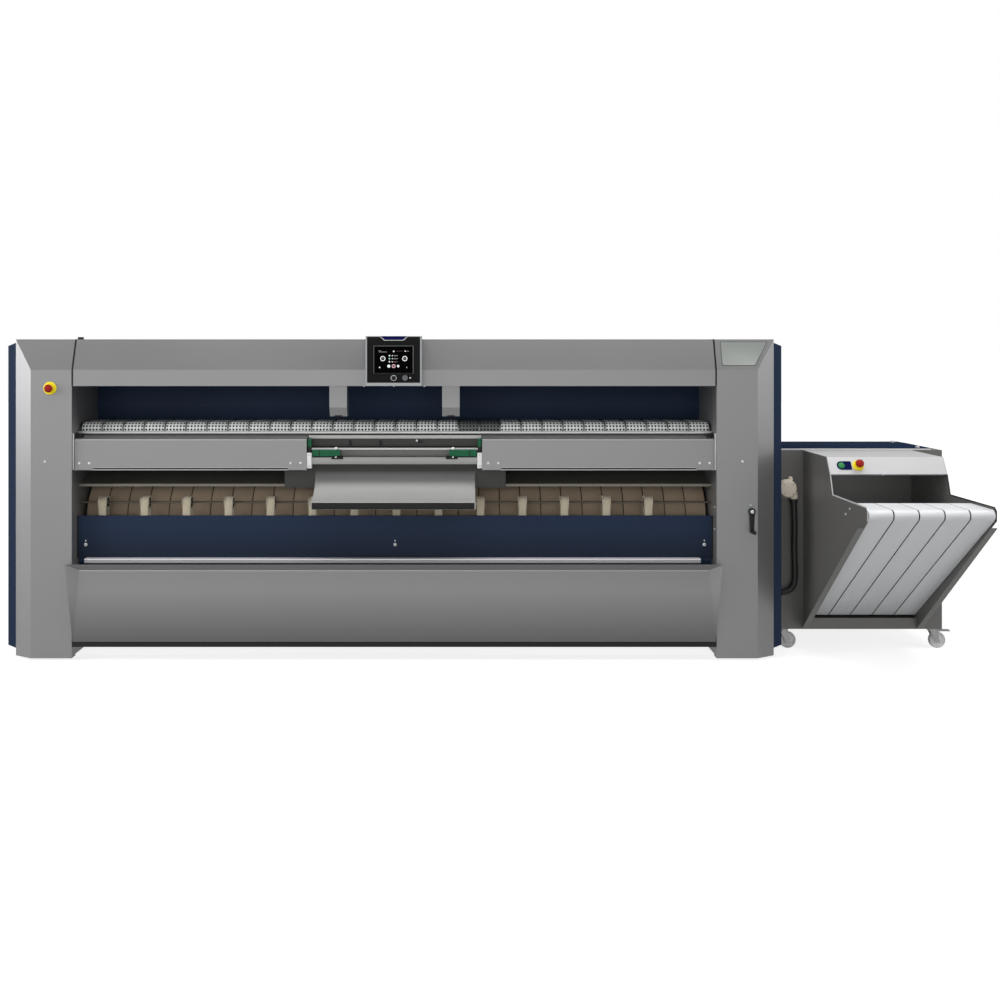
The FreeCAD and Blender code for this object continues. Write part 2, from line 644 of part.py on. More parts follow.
rear_wall = box(
    both_ways(f"{SHELL} - skin - fit"), ("machine_depth - skin", "machine_depth"), ("rear_low", ROOF)
)
roof = box(both_ways(f"{CHEEK} - fit"), ("beam_back + seam", "machine_depth"), (ROOF, "machine_height"))
at_spigot = ("0", "spigot_height")
collar = fuse(
    rod("y", ("machine_depth", "machine_depth + skin"), at_spigot, "spigot_radius + spigot_flange"),
    rod("y", ("machine_depth", "machine_depth + spigot_length"), at_spigot, "spigot_radius"),
)
flue = rod(
    "y",
    ("machine_depth - skin - overrun", "machine_depth + spigot_length + overrun"),
    at_spigot,
    "spigot_radius - skin",
)
part("rear_panel", cut(fuse(rear_wall, roof, collar), flue))

# ---------------------------------------------------------------- control panel

CONTROL_TOP = "(machine_height + control_rise)"
control_section = [
    ("-control_reach", f"{BEAM_LOW} + skin"),
    ("-control_reach", CONTROL_TOP),
    ("bevel_depth + control_lap", CONTROL_TOP),
    ("bevel_depth + control_lap", "machine_height"),
    ("bevel_depth", "machine_height"),
    ("0", FOLD),
    ("0", f"{BEAM_LOW} + skin"),
]
control_half = "control_width / 2"
face_half = "(control_width / 2 - control_edge)"
face_low = f"({BEAM_LOW} + skin + control_foot)"
face_high = f"({CONTROL_TOP} - control_brow)"
face_depth = ("-control_reach", "-control_reach + fascia_skin")
at_power = ("power_across", f"{CONTROL_TOP} - power_drop")
SCREEN = (f"{CONTROL_TOP} - screen_drop - screen_height", f"{CONTROL_TOP} - screen_drop")
pocket = box(
    both_ways(face_half),
    ("-control_reach - overrun", "-control_reach + control_hollow"),
    (face_low, face_high),
)
part("control_housing", cut(prism(control_section, both_ways(control_half)), pocket))
face = box(both_ways(f"{face_half} - fit"), face_depth, (f"{face_low} + fit", f"{face_high} - fit"))
rim_depth = ("-control_reach - screen_rise", "-control_reach")
screen_half = "screen_width / 2"
rim = cut(
    box(both_ways(screen_half), rim_depth, SCREEN),
    box(
        both_ways(f"{screen_half} - skin"),
        ("-control_reach - screen_rise - overrun", "-control_reach"),
        (f"{SCREEN[0]} + skin", f"{SCREEN[1]} - skin"),
    ),
)
power_hole = rod(
    "y",
    ("-control_reach - overrun", "-control_reach + fascia_skin + overrun"),
    at_power,
    "power_radius + fit",
)
part("control_face", cut(fuse(face, rim), power_hole))
power_span = ("-control_reach - power_rise", "-control_reach + fascia_skin + power_rise")
part("power_button", rod("y", power_span, at_power, "power_radius"))

# ---------------------------------------------------------------- hand crank and emergency stop

sleeve = fuse(
    rod("y", ("-bearing_rise", "0"), at_crank, "bearing_flange"),
    rod("y", ("0", "bearing_length"), at_crank, "bearing_sleeve"),
)
bore = rod("y", ("-bearing_rise - overrun", "bearing_length + overrun"), at_crank, "crank_shaft + fit")
crank_bearing = cut(sleeve, bore)
arm_depth = ("-bearing_rise - fit - crank_skin", "-bearing_rise - fit")
at_grip = ("crank_across", "crank_height - crank_arm")
part(
    "crank_lever",
    fuse(
        rod("y", arm_depth, at_crank, "crank_hub"),
        rod("y", ("-bearing_rise - fit - overrun", "bearing_length"), at_crank, "crank_shaft"),
        box(
            ("crank_across - crank_width / 2", "crank_across + crank_width / 2"),
            arm_depth,
            ("crank_height - crank_arm", "crank_height"),
        ),
        rod("y", arm_depth, at_grip, "crank_width / 2"),
        rod("y", (f"{arm_depth[0]} - grip_length", arm_depth[0]), at_grip, "grip_radius"),
    ),
)

stop_ring = cut(
    rod("y", ("-stop_rise", "0"), at_stop, "stop_ring"),
    rod("y", ("-stop_rise - overrun", "overrun"), at_stop, "stop_neck + fit"),
)
part(
    "column_stop_button",
    fuse(
        rod("y", ("-stop_rise - stop_gap", "skin + stop_rise"), at_stop, "stop_neck"),
        rod("y", ("-stop_rise - stop_gap - stop_crown", "-stop_rise - stop_gap"), at_stop, "stop_head"),
    ),
)

# ---------------------------------------------------------------- feed belts and feeder

FEED_CIRCLES = [(s.feed_back, s.feed_height, s.feed_radius), (s.feed_front, s.feed_height, s.feed_radius)]


def belt_row(circles):
    """Equal belts side by side across the machine."""
    first = -s.feed_pitch * s.belt_count / 2 + (s.feed_pitch - s.belt_width) / 2
    loop = belt_loop(circles, s.belt_air, s.belt_skin, first, s.belt_width)
    copies = []
    for number in range(int(s.belt_count)):
        copies.append(loop.translated(Vector(number * s.feed_pitch, 0, 0)))
    return Part.makeCompound(copies)


part("feed_belts", solid(belt_row(FEED_CIRCLES)))
for label, depth in (("feed_nose_roller", "feed_front"), ("feed_rear_roller", "feed_back")):
    part(label, roller("feed_radius", (depth, "feed_height"), f"{CHEEK} - roller_end", f"{CHEEK} - fit"))

suction_depth = ("suction_front", "suction_back")
suction_height = ("feed_height - suction_half", "feed_height + suction_half")
suction_tube = tube(inner_span, suction_depth, suction_height, wall="skin")

cover_path = [
    ("feeder_beam_front + 10", "feeder_low"),
    ("feeder_front", "feeder_low"),
    ("feeder_front", "feeder_high"),
    ("rail_front", "rail_low"),
]
covers = [
    prism(cover_path, mirrored(sign, "feeder_window", f"{CHEEK} - feeder_end - fit"), bent="skin")
    for side, sign in SIDES
]
part("feeder_covers", group(*covers))

beam_depth = ("feeder_beam_front", "rail_back")
beam_height = ("feeder_low + skin", "feeder_high + 10")
brackets = [
    box(
        mirrored(sign, f"{CHEEK} - feeder_end", f"{CHEEK} - fit"),
        ("feeder_front - seam", "feeder_beam_front"),
        ("feeder_low - seam", "rail_high - seam"),
    )
    for side, sign in SIDES
]
feeder_tube = tube(inner_span, beam_depth, beam_height, wall="skin")
web = box(inner_span, ("rail_back - 10", "rail_back"), ("feeder_high", "rail_low - fit"))
part("feeder_frame", group(fuse(feeder_tube, web, *brackets), suction_tube))

rails = [
    box(inner_span, ("rail_front", "rail_back"), ("rail_low", "rail_high")),
    box(inner_span, ("return_front", "return_back"), ("return_low", "return_high")),
    tube(both_ways("bumper_half"), ("bumper_front", "guard_front - fit"), ("bumper_low", "bumper_high"), wall="skin"),
]
part("front_rails", group(*rails))

guide_half = "(feeder_window - fit - block_width)"
blocks = []
for side, sign in SIDES:
    across = mirrored(sign, guide_half, "feeder_window - fit")
    blocks.append(box(across, ("block_front", "guide_front + clamp_depth"), ("feeder_low + skin + fit", "block_top")))
    upright = mirrored(sign, f"{guide_half} + guide_edge", "feeder_window - fit - guide_edge")
    blocks.append(box(upright, ("guide_front", "guide_front + clamp_depth"), ("block_top", "feeder_high")))
lower_rail = box(both_ways(guide_half), ("guide_front", "feeder_beam_front - fit"), ("guide_low", "guide_mid"))
upper_depth = ("guide_front + guide_setback", "guide_front + guide_setback + guide_depth")
upper_rail = box(both_ways(f"{guide_half} + guide_edge"), upper_depth, ("guide_high", "guide_top"))
part("clamp_rails", fuse(lower_rail, upper_rail, *blocks))

for side, sign in SIDES:
    reach = mirrored(sign, "clamp_outer - clamp_length", "clamp_outer")
    inset = mirrored(sign, "clamp_outer - clamp_length + shoe_inset", "clamp_outer - shoe_inset")
    jaw = box(reach, ("guide_front + fit", "guide_front + clamp_depth"), ("guide_mid + clamp_shoe", "guide_high - fit"))
    shoe_span = ("guide_front + clamp_shoe", "guide_front + clamp_shoe + shoe_depth")
    shoe = box(inset, shoe_span, ("guide_mid + fit", "guide_mid + clamp_shoe"))
    part(f"clamp_{side}", fuse(jaw, shoe))

# ---------------------------------------------------------------- chute and return deck

CHUTE_STEPS = 7
chute_path = []
for step in range(CHUTE_STEPS + 1):
    turn = 90 * step / CHUTE_STEPS
    chute_path.append((f"chute_back - chute_reach * (1 - cos({turn:.3f}))", f"chute_top - chute_drop * sin({turn:.3f})"))
chute_path.append(("chute_back - chute_reach", "chute_top - chute_drop - chute_lip"))
tray = prism(chute_path, both_ways("chute_half"), bent="skin")
shield = box(both_ways("shield_half"), ("chute_back", "chute_back + skin"), ("shield_low", "feeder_low + skin - fit"))
part("chute_tray", fuse(tray, shield))

deck_path = [
    ("return_back", "return_low"),
    ("return_back", "return_high - skin"),
    ("deck_knee_depth", "deck_knee_height"),
    ("deck_end_depth", "cylinder_height + deck_end_rise"),
]
part("return_deck", prism(deck_path, inner_span, bent="skin"))

# ---------------------------------------------------------------- heated cylinder and its belts

cylinder = doc.addObject("PartDesign::Body", "heated_cylinder")
section = cylinder.newObject("Sketcher::SketchObject", "half_section")
plane = [feature for feature in cylinder.Origin.OriginFeatures if feature.Role == "XY_Plane"][0]
section.AttachmentSupport = (plane, "")
section.MapMode = "FlatFace"
drum_end = f"({CHEEK} - roller_end)"
tip = f"({drum_end} + journal_length)"
half_section = [
    (f"-{tip}", "journal_bore"),
    (f"-{tip}", "journal_radius"),
    (f"-{drum_end}", "journal_radius"),
    (f"-{drum_end}", "cylinder_radius"),
    (drum_end, "cylinder_radius"),
    (drum_end, "journal_radius"),
    (tip, "journal_radius"),
    (tip, "journal_bore"),
    (f"{drum_end} - cylinder_end", "journal_bore"),
    (f"{drum_end} - cylinder_end", "cylinder_radius - cylinder_wall"),
    (f"-{drum_end} + cylinder_end", "cylinder_radius - cylinder_wall"),
    (f"-{drum_end} + cylinder_end", "journal_bore"),
]
count = len(half_section)
for i in range(count):
    corners = [Vector(math.cos(math.tau * j / count), math.sin(math.tau * j / count), 0) * 100 for j in (i, i + 1)]
    section.addGeometry(Part.LineSegment(*corners))
for i in range(count):
    section.addConstraint(Sketcher.Constraint("Coincident", i, 2, (i + 1) % count, 1))
for i, corner in enumerate(half_section):
    for kind, text in zip(("DistanceX", "DistanceY"), corner):
        number = section.addConstraint(Sketcher.Constraint(kind, -1, 1, i, 1, 50.0))
        bind(section, f"Constraints[{number}]", text)
turned = cylinder.newObject("PartDesign::Revolution", "turned")
turned.Profile = section
turned.ReferenceAxis = (section, ["H_Axis"])
turned.Angle = 360
place(cylinder, y="cylinder_depth", z="cylinder_height")
part("heated_cylinder", cylinder)

at_cylinder = ("cylinder_depth", "cylinder_height")
bearings = [crank_bearing]
for side, sign in SIDES:
    span = mirrored(sign, f"{CHEEK} + frame_plate", f"{CHEEK} + frame_plate + housing_depth")
    through = mirrored(sign, f"{CHEEK} + frame_plate - overrun", f"{CHEEK} + frame_plate + housing_depth + overrun")
    block = box(
        span,
        ("cylinder_depth - housing_half", "cylinder_depth + housing_half"),
        ("cylinder_height - housing_half", "cylinder_height + housing_half"),
    )
    bearings.append(cut(block, rod("x", through, at_cylinder, "journal_radius + fit")))
part("bearings", group(*bearings))

gearbox_start = f"{CHEEK} + frame_plate + housing_depth"
gearbox_span = (gearbox_start, f"{gearbox_start} + gearbox_depth")
gearbox = box(
    gearbox_span,
    ("cylinder_depth - gearbox_half", "cylinder_depth + gearbox_half"),
    ("cylinder_height - gearbox_half", "cylinder_height + gearbox_half"),
)
motor_top = "cylinder_height - gearbox_half"
motor = rod(
    "z",
    (f"{motor_top} - motor_length", f"{motor_top} + overrun"),
    (f"{gearbox_start} + gearbox_depth / 2", "cylinder_depth"),
    "motor_radius",
)
bore_span = (f"{gearbox_start} - overrun", f"{gearbox_start} + gearbox_depth + overrun")
part("gearmotor", cut(fuse(gearbox, motor), rod("x", bore_span, at_cylinder, "journal_radius + fit")))

IRONING_CIRCLES = [
    (s.tension_depth, s.cylinder_height, s.tension_radius),
    (s.cylinder_depth, s.cylinder_height, s.cylinder_radius),
]
part("ironing_belts", solid(belt_row(IRONING_CIRCLES)))
at_tension = ("tension_depth", "cylinder_height")
part("tension_roller", roller("tension_radius", at_tension, f"{CHEEK} - roller_end", f"{CHEEK} - fit"))

# ---------------------------------------------------------------- tapes in front of the cylinder

first_tape = "(-feed_pitch * (belt_count / 2 - 1) + tape_shift)"
for label, height in (("tape_pulleys_upper", "pulley_high"), ("tape_pulleys_lower", "pulley_low")):
    centre = ("pulley_depth", height)
    wheels = [rod("x", inner_span, centre, "pulley_shaft")]
    for number in range(int(s.tape_count)):
        middle = f"{first_tape} + {2 * number} * feed_pitch"
        left, right = f"{middle} - tape_width / 2", f"{middle} + tape_width / 2"
        wheels.append(rod("x", (left, right), centre, "pulley_radius"))
        for low, high in ((f"{left} - pulley_flange", left), (right, f"{right} + pulley_flange")):
            wheels.append(rod("x", (low, high), centre, "pulley_radius + tape_skin + pulley_rim"))
    part(label, fuse(*wheels))

TAPE_CIRCLES = [
    (s.pulley_depth, s.pulley_low, s.pulley_radius),
    (s.pulley_depth, s.pulley_high, s.pulley_radius),
]
tape_low = -s.feed_pitch * (s.belt_count / 2 - 1) + s.tape_shift - s.tape_width / 2 + s.tape_side
tape = belt_loop(TAPE_CIRCLES, s.belt_air, s.tape_skin, tape_low, s.tape_width - 2 * s.tape_side)
tapes = [tape.translated(Vector(2 * number * s.feed_pitch, 0, 0)) for number in range(int(s.tape_count))]
part("linen_tapes", solid(Part.makeCompound(tapes)))

# ---------------------------------------------------------------- lower front

guard_path = [
    ("guard_front + guard_hem", "guard_high"),
    ("guard_front", "guard_high"),
    ("guard_front", "guard_low"),
    ("guard_front + guard_hem", "guard_low"),
]
part("lower_guard", prism(guard_path, inner_span, bent="-skin"))

screws = []
for sign in (-1, 1):
    inner, outer = "feeder_window + screw_near", f"{CHEEK} - feeder_end - screw_end"
    for x in (inner, f"{inner} + screw_step", f"{outer} - screw_step", outer):
        at_screw = (f"{sign} * ({x})", "feeder_low + screw_low")
        screws.append(rod("y", ("feeder_front - screw_rise", "feeder_front"), at_screw, "screw_radius"))
for x in (f"-({CHEEK} - latch_inset)", "0", f"{CHEEK} - latch_inset"):
    screws.append(rod("y", ("guard_front - 2 * screw_rise", "guard_front"), (x, "latch_height"), "latch_radius"))
for x in ("-screw_left", "screw_right"):
    screws.append(rod("y", ("-screw_rise", "0"), (x, "column_screw"), "screw_radius"))
for at_bolt in (("-bolt_front", "bolt_front_height"), ("-bolt_back", "bolt_back_height")):
    screws.append(rod("x", (f"{HOPPER} - 2 * skin", f"{HOPPER} - skin"), at_bolt, "screw_radius - 1"))
part("cover_screws", group(*screws))


def folded_tray():
    """The catch tray's face with a lip and two side triangles that fold forward from it."""
    face_y, lip_y = -s.tray_front, -s.tray_reach
    faces = []
    foot = [Vector(sign * s.tray_half, face_y, s.tray_low) for sign in (-1, 1)]
    fold = [Vector(sign * s.tray_fold_half, face_y, s.tray_fold) for sign in (-1, 1)]
    lip = [Vector(sign * s.tray_lip_half, lip_y, s.tray_lip) for sign in (-1, 1)]
    faces.append([foot[0], foot[1], fold[1], fold[0]])
    faces.append([fold[0], fold[1], lip[1], lip[0]])
    for side in (0, 1):
        faces.append([foot[side], fold[side], lip[side]])
    back = Vector(0, s.tray_skin, 0)
    walls = [Part.Face(Part.makePolygon(corners + corners[:1])).extrude(back) for corners in faces]
    return walls[0].multiFuse(walls[1:]).removeSplitter()


part("catch_tray", solid(folded_tray()))

# ---------------------------------------------------------------- stacker cabinet

cabinet_span = (CABINET, CABINET_END)
cabinet_depth = ("cabinet_front", "cabinet_back")
SLOT = ("kick_high", "tail_height + 2 * stack_radius")
cabinet = cut(
    box(cabinet_span, cabinet_depth, ("cabinet_low", "cabinet_high")),
    box(
        (f"{CABINET} + skin", f"{CABINET_END} - skin"),
        ("cabinet_front + skin", "cabinet_back - skin"),
        ("cabinet_low + skin", "cabinet_high - skin"),
    ),
    box((HOPPER, HOPPER_END), ("cabinet_front - overrun", "cabinet_front + skin + overrun"), SLOT),
)
kick_span = (f"{HOPPER} + fit", f"{HOPPER_END} - fit")
kick = tube(kick_span, ("hopper_heel", "cabinet_front"), ("hopper_foot", "kick_high"), wall="skin")
dock = box((OUTER, CABINET), ("dock_depth", "dock_depth + dock_width"), ("dock_low", "dock_high"))
part("stacker_cabinet", fuse(cabinet, kick, dock))

top_depth = ("cabinet_front", "cabinet_front + top_length")
part(
    "stacker_top",
    box((CABINET, f"{CABINET_END} - top_side"), top_depth, ("cabinet_high", "cabinet_high + top_rise")),
)

wall_outline = [
    ("cabinet_front - fit", "cabinet_high"),
    ("-hopper_brow", "cabinet_high"),
    ("-console_chin", "console_low"),
    ("-hopper_step", "hopper_rim"),
    ("-hopper_tip + hopper_chamfer", "hopper_rim"),
    ("-hopper_tip", "hopper_rim - hopper_chamfer"),
    ("-hopper_tip", "hopper_nose"),
    ("hopper_heel", "hopper_foot"),
    ("cabinet_front - fit", "cabinet_low"),
]
walls = []
for inner, outer in ((f"{HOPPER} - skin", HOPPER), (HOPPER_END, f"{HOPPER_END} + skin")):
    walls.append(prism(wall_outline, (inner, outer)))
flange_top = "hopper_nose - flange_back * (hopper_nose - hopper_foot) / (hopper_tip + hopper_heel)"
strip = [
    ("-hopper_tip + flange_back", flange_top),
    ("hopper_heel", "hopper_foot"),
    ("hopper_heel", "hopper_foot + flange_rise"),
    ("-hopper_tip + flange_back", f"{flange_top} + flange_rise"),
]
flanges = [
    prism(strip, (f"{HOPPER} - skin - hopper_flange", f"{HOPPER} - skin / 2")),
    prism(strip, (f"{HOPPER_END} + skin / 2", f"{HOPPER_END} + skin + hopper_flange")),
]
part("hopper_walls", group(fuse(walls[0], flanges[0]), fuse(walls[1], flanges[1])))

console_path = [
    ("cabinet_front - fit", "cabinet_high"),
    ("-hopper_brow", "cabinet_high"),
    ("-console_chin", "console_low"),
    ("-console_chin + console_return", "console_low - console_sink"),
]
console_span = (f"{HOPPER} + fit", f"{HOPPER_END} - fit")

# The console's face leans back; its buttons stand square to it.
face_lean = math.atan2(s.console_chin - s.hopper_brow, s.cabinet_high - s.console_low)
button_turn = Rotation(Vector(1, 0, 0), 90 - math.degrees(face_lean))
outward = Vector(0, -math.cos(face_lean), math.sin(face_lean))


def on_console(radius, low, high, across, name="button"):
    """A cylinder that stands square on the middle of the console's face, from low to high above it."""
    thing = doc.addObject("Part::Cylinder", name)
    bind(thing, "Radius", radius)
    bind(thing, "Height", f"({high}) - ({low})")
    slant = "sqrt((console_chin - hopper_brow)^2 + (cabinet_high - console_low)^2)"
    forward, upward = f"(cabinet_high - console_low) / {slant}", f"(console_chin - hopper_brow) / {slant}"
    place(
        thing,
        f"{CABINET} + {across}",
        f"-(hopper_brow + console_chin) / 2 - ({low}) * {forward}",
        f"(cabinet_high + console_low) / 2 + ({low}) * {upward}",
        turn=button_turn,
    )
    return thing


console = prism(console_path, console_span, bent="-skin")
start_hole = on_console("start_radius + fit", "-skin - button_depth", "button_depth", "start_across")
stop_hole = on_console("stop_neck + fit", "-skin - button_depth", "button_depth", "stacker_stop_across")
part("stacker_console", cut(console, start_hole, stop_hole))
stacker_ring = cut(
    on_console("stop_ring", "0", "stop_rise", "stacker_stop_across"),
    on_console("stop_neck + fit", "-overrun", "stop_rise + overrun", "stacker_stop_across"),
)
part("stop_rings", group(stop_ring, stacker_ring))
part(
    "stacker_stop_button",
    fuse(
        on_console("stop_neck", "-skin - stop_rise", "stop_rise + stop_gap", "stacker_stop_across"),
        on_console("stop_head", "stop_rise + stop_gap", "stop_rise + stop_gap + stop_crown", "stacker_stop_across"),
    ),
)
part("start_button", on_console("start_radius", "-skin - start_rise", "start_rise", "start_across"))

# ---------------------------------------------------------------- stacker belts

head_depth = -s.hopper_reach + s.head_radius + s.belt_air + s.belt_skin
STACK_CIRCLES = [
    (s.tail_depth, s.tail_height, s.stack_radius),
    (head_depth, s.head_height, s.head_radius),
    (head_depth + s.rail_back_off, s.head_height, s.head_radius),
]
side_panel = s.clear_width / 2 + s.column_face + s.column_bevel + s.side_cover
hopper_x = side_panel + s.dock_gap + s.hopper_side
stack_pitch = s.hopper_width / s.stack_count
stack_loops = []
for number in range(int(s.stack_count)):
    low = hopper_x + number * stack_pitch + s.stack_gap / 2
    stack_loops.append(belt_loop(STACK_CIRCLES, s.belt_air, s.belt_skin, low, stack_pitch - s.stack_gap))
part("stacker_belts", solid(Part.makeCompound(stack_loops)))

HEAD = "(-hopper_reach + head_radius + belt_air + belt_skin)"
roller_span = (f"{HOPPER} + stack_gap / 2", f"{HOPPER_END} - stack_gap / 2")
wall_to_wall = (f"{HOPPER} + fit", f"{HOPPER_END} - fit")
for label, centre, radius in (
    ("stacker_head_roller", (HEAD, "head_height"), "head_radius"),
    ("stacker_tail_roller", ("tail_depth", "tail_height"), "stack_radius"),
):
    part(label, fuse(rod("x", roller_span, centre, radius), rod("x", wall_to_wall, centre, "shaft_radius")))

# Behind the head roller the belts lie on a table whose rear edge is a round rail.
rail_depth = f"({HEAD} + rail_back_off)"
table_depth = (f"{HEAD} + head_radius + roller_end", rail_depth)
table_height = ("head_height + head_radius - table_skin", "head_height + head_radius")
table = fuse(
    box(wall_to_wall, table_depth, table_height),
    rod("x", wall_to_wall, (rail_depth, "head_height"), "head_radius"),
)


def slider_bed():
    """A flat bed along the middle between the two rollers, inside the belts."""
    head = Vector(0, head_depth, s.head_height)
    tail = Vector(0, s.tail_depth, s.tail_height)
    along = (tail - head).normalize()
    square = Vector(0, -along.z, along.y)
    corners = []
    for point, side in ((head, 1), (tail, 1), (tail, -1), (head, -1)):
        inward = along if point is head else along * -1
        corners.append(point + inward * s.bed_short + square * (side * s.bed_skin / 2))
    corners = [Vector(hopper_x + s.fit, corner.y, corner.z) for corner in corners]
    flat = Part.Face(Part.makePolygon(corners + corners[:1]))
    return flat.extrude(Vector(s.hopper_width - 2 * s.fit, 0, 0))


part("stacker_bed", group(solid(slider_bed()), table))

# ---------------------------------------------------------------- casters

CROWN_LOW = "(2 * wheel_radius + crown_gap)"
CROWN = (CROWN_LOW, "cabinet_low - fit")
corner_names = {
    "front_left": (f"{CABINET} + caster_side", "cabinet_front + caster_inset"),
    "front_right": (f"{CABINET_END} - caster_side", "cabinet_front + caster_inset"),
    "rear_left": (f"{CABINET} + caster_side", "cabinet_back - caster_inset"),
    "rear_right": (f"{CABINET_END} - caster_side", "cabinet_back - caster_inset"),
}
for corner, (x, y) in corner_names.items():
    at_axle = (f"{x} + caster_trail", "wheel_radius")
    leg = "(wheel_width / 2 + leg_gap)"
    pieces = [
        rod("z", CROWN, (x, y), "crown_radius"),
        rod("y", (f"{y} - {leg} - fork_skin", f"{y} + {leg} + fork_skin"), at_axle, "axle_radius"),
    ]
    leg_outline = [
        (f"{x} - leg_top", f"{CROWN_LOW} + leg_lap"),
        (f"{x} + leg_top", f"{CROWN_LOW} + leg_lap"),
        (f"{at_axle[0]} + leg_foot", "wheel_radius - leg_drop"),
        (f"{at_axle[0]} - leg_foot", "wheel_radius - leg_drop"),
    ]
    for low, high in ((f"-{leg} - fork_skin", f"-{leg}"), (leg, f"{leg} + fork_skin")):
        pieces.append(prism(leg_outline, (f"{y} + {low}", f"{y} + {high}"), plane="xz"))
    if corner == "front_right":
        pedal = (f"{CROWN_LOW} + leg_lap - pedal_skin", f"{CROWN_LOW} + leg_lap")
        pieces.append(box((x, f"{x} + brake_reach"), (f"{y} - pedal_half", f"{y} + pedal_half"), pedal))
    part(f"caster_fork_{corner}", fuse(*pieces))
    half = "wheel_width / 2"
    tread = rod("y", (f"{y} - {half}", f"{y} + {half}"), at_axle, "wheel_radius")
    eye = rod("y", (f"{y} - {half} - overrun", f"{y} + {half} + overrun"), at_axle, "axle_radius + fit")
    part(f"caster_wheel_{corner}", cut(tread, eye))

# ---------------------------------------------------------------- junction box and cable

at_junction = ("junction_across", "junction_height")
junction = fuse(
    rod("y", ("cabinet_front - junction_depth", "cabinet_front"), at_junction, "junction_radius"),
    rod("z", ("cable_exit", "cable_exit + gland_drop"), ("cable_across", "cable_depth"), "gland_radius"),
)
part("junction_box", junction)

# The cable's route: across, depth and height of each point, from the junction box down to the side panel.
CABLE_ROUTE = [
    (s.cable_across, s.cable_depth, s.cable_exit - 2 * s.fit),
    (2347, 199, 755),
    (2344, 202, 600),
    (2348, 200, 500),
    (2348, 200, 403),
    (2326.6, 200, 365.8),
    (2289.5, 200, s.cable_entry),
    (side_panel + s.gland_length, s.cable_depth, s.cable_entry),
]


def cable_path(points):
    """Straight runs joined by tangent arcs, each as large as its two runs allow."""
    points = [Vector(*point) for point in points]
    edges, reached = [], points[0]
    for before, corner, after in zip(points, points[1:], points[2:]):
        back, onward = before - corner, after - corner
        half_turn = (math.pi - back.getAngle(onward)) / 2
        setback = 0.45 * min(back.Length, onward.Length)
        radius = setback / math.tan(half_turn)
        print(f"cable bend {math.degrees(2 * half_turn):.0f} degrees, radius {radius:.0f}")
        back.normalize()
        onward.normalize()
        inward = (back + onward).normalize()
        middle = corner + inward * (radius / math.cos(half_turn) - radius)
        first, last = corner + back * setback, corner + onward * setback
        edges.append(Part.LineSegment(reached, first).toShape())
        edges.append(Part.Arc(first, middle, last).toShape())
        reached = last
    edges.append(Part.LineSegment(reached, points[-1]).toShape())
    return Part.Wire(edges)


route = cable_path(CABLE_ROUTE)
start = Vector(*CABLE_ROUTE[0])
direction = Vector(*CABLE_ROUTE[1]) - start
ring = Part.Wire(Part.makeCircle(s.cable_radius, start, direction))
cable = route.makePipeShell([ring], True, True)
print(f"cable length {route.Length:.1f}, volume ratio {cable.Volume / (math.pi * s.cable_radius**2 * route.Length):.4f}")
part("control_cable", solid(cable))

# ---------------------------------------------------------------- check and write

doc.recompute()
failed = [thing.Label for thing in doc.Objects if "Invalid" in thing.State or "Error" in thing.State]
for thing in parts:
    if thing.Shape.isNull() or not thing.Shape.isValid() or not thing.Shape.Solids:
        failed.append(thing.Label)
if failed:
    raise RuntimeError(f"these pieces did not build: {failed}")

os.makedirs("parts", exist_ok=True)
for thing in parts:
    thing.Shape.exportStep(f"parts/{thing.Label}.step")
print(f"{len(parts)} pieces written")
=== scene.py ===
"""A flatwork ironer with a stacker docked at its side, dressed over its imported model."""

import json
import math

import bmesh
import bpy
import numpy as np
from bpy.props import FloatProperty, FloatVectorProperty, IntProperty, PointerProperty
from bpy.types import Operator, Panel, PropertyGroup
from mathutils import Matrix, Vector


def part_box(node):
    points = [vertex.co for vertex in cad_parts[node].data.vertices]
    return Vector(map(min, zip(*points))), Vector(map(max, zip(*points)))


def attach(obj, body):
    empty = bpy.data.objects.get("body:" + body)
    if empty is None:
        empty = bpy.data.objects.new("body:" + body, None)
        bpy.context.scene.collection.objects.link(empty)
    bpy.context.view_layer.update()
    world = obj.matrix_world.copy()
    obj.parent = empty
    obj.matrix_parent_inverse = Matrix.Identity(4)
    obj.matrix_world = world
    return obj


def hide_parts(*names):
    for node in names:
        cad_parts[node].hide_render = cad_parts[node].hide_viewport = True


bl_info = {
    "name": "Flatwork Ironer",
    "version": (1, 0, 0),
    "blender": (4, 5, 0),
    "location": "View3D > Sidebar > Ironer",
    "description": "Belts, fittings and finishes of a flatwork ironer with a docked stacker",
    "category": "Object",
}

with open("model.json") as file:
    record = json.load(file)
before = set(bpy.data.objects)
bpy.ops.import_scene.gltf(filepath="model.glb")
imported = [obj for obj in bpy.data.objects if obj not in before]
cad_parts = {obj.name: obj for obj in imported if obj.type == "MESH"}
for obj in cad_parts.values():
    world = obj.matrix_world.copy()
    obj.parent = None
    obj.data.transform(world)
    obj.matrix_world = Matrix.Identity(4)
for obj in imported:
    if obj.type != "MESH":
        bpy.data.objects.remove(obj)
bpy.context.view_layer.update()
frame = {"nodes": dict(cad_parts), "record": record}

# Places are given in millimetres from the middle of the ironer, its columns' front face and the floor:
# x to the right, y to the back and z up.
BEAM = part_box("top_beam_cover")
ORIGIN = np.array([(BEAM[0].x + BEAM[1].x) / 2, BEAM[0].y, 0.0])


def node_box(node):
    """A node's lowest and highest corner in millimetres from the ironer's own middle."""
    return [(np.array(corner) - ORIGIN) * 1000 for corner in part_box(node)]


def tone(code):
    """A colour written as six hexadecimal digits, as linear red, green and blue."""
    values = np.array([int(code[i : i + 2], 16) for i in (0, 2, 4)]) / 255
    return tuple(np.where(values <= 0.04045, values / 12.92, ((values + 0.055) / 1.055) ** 2.4))


# ---------------------------------------------------------------- sizes and colours


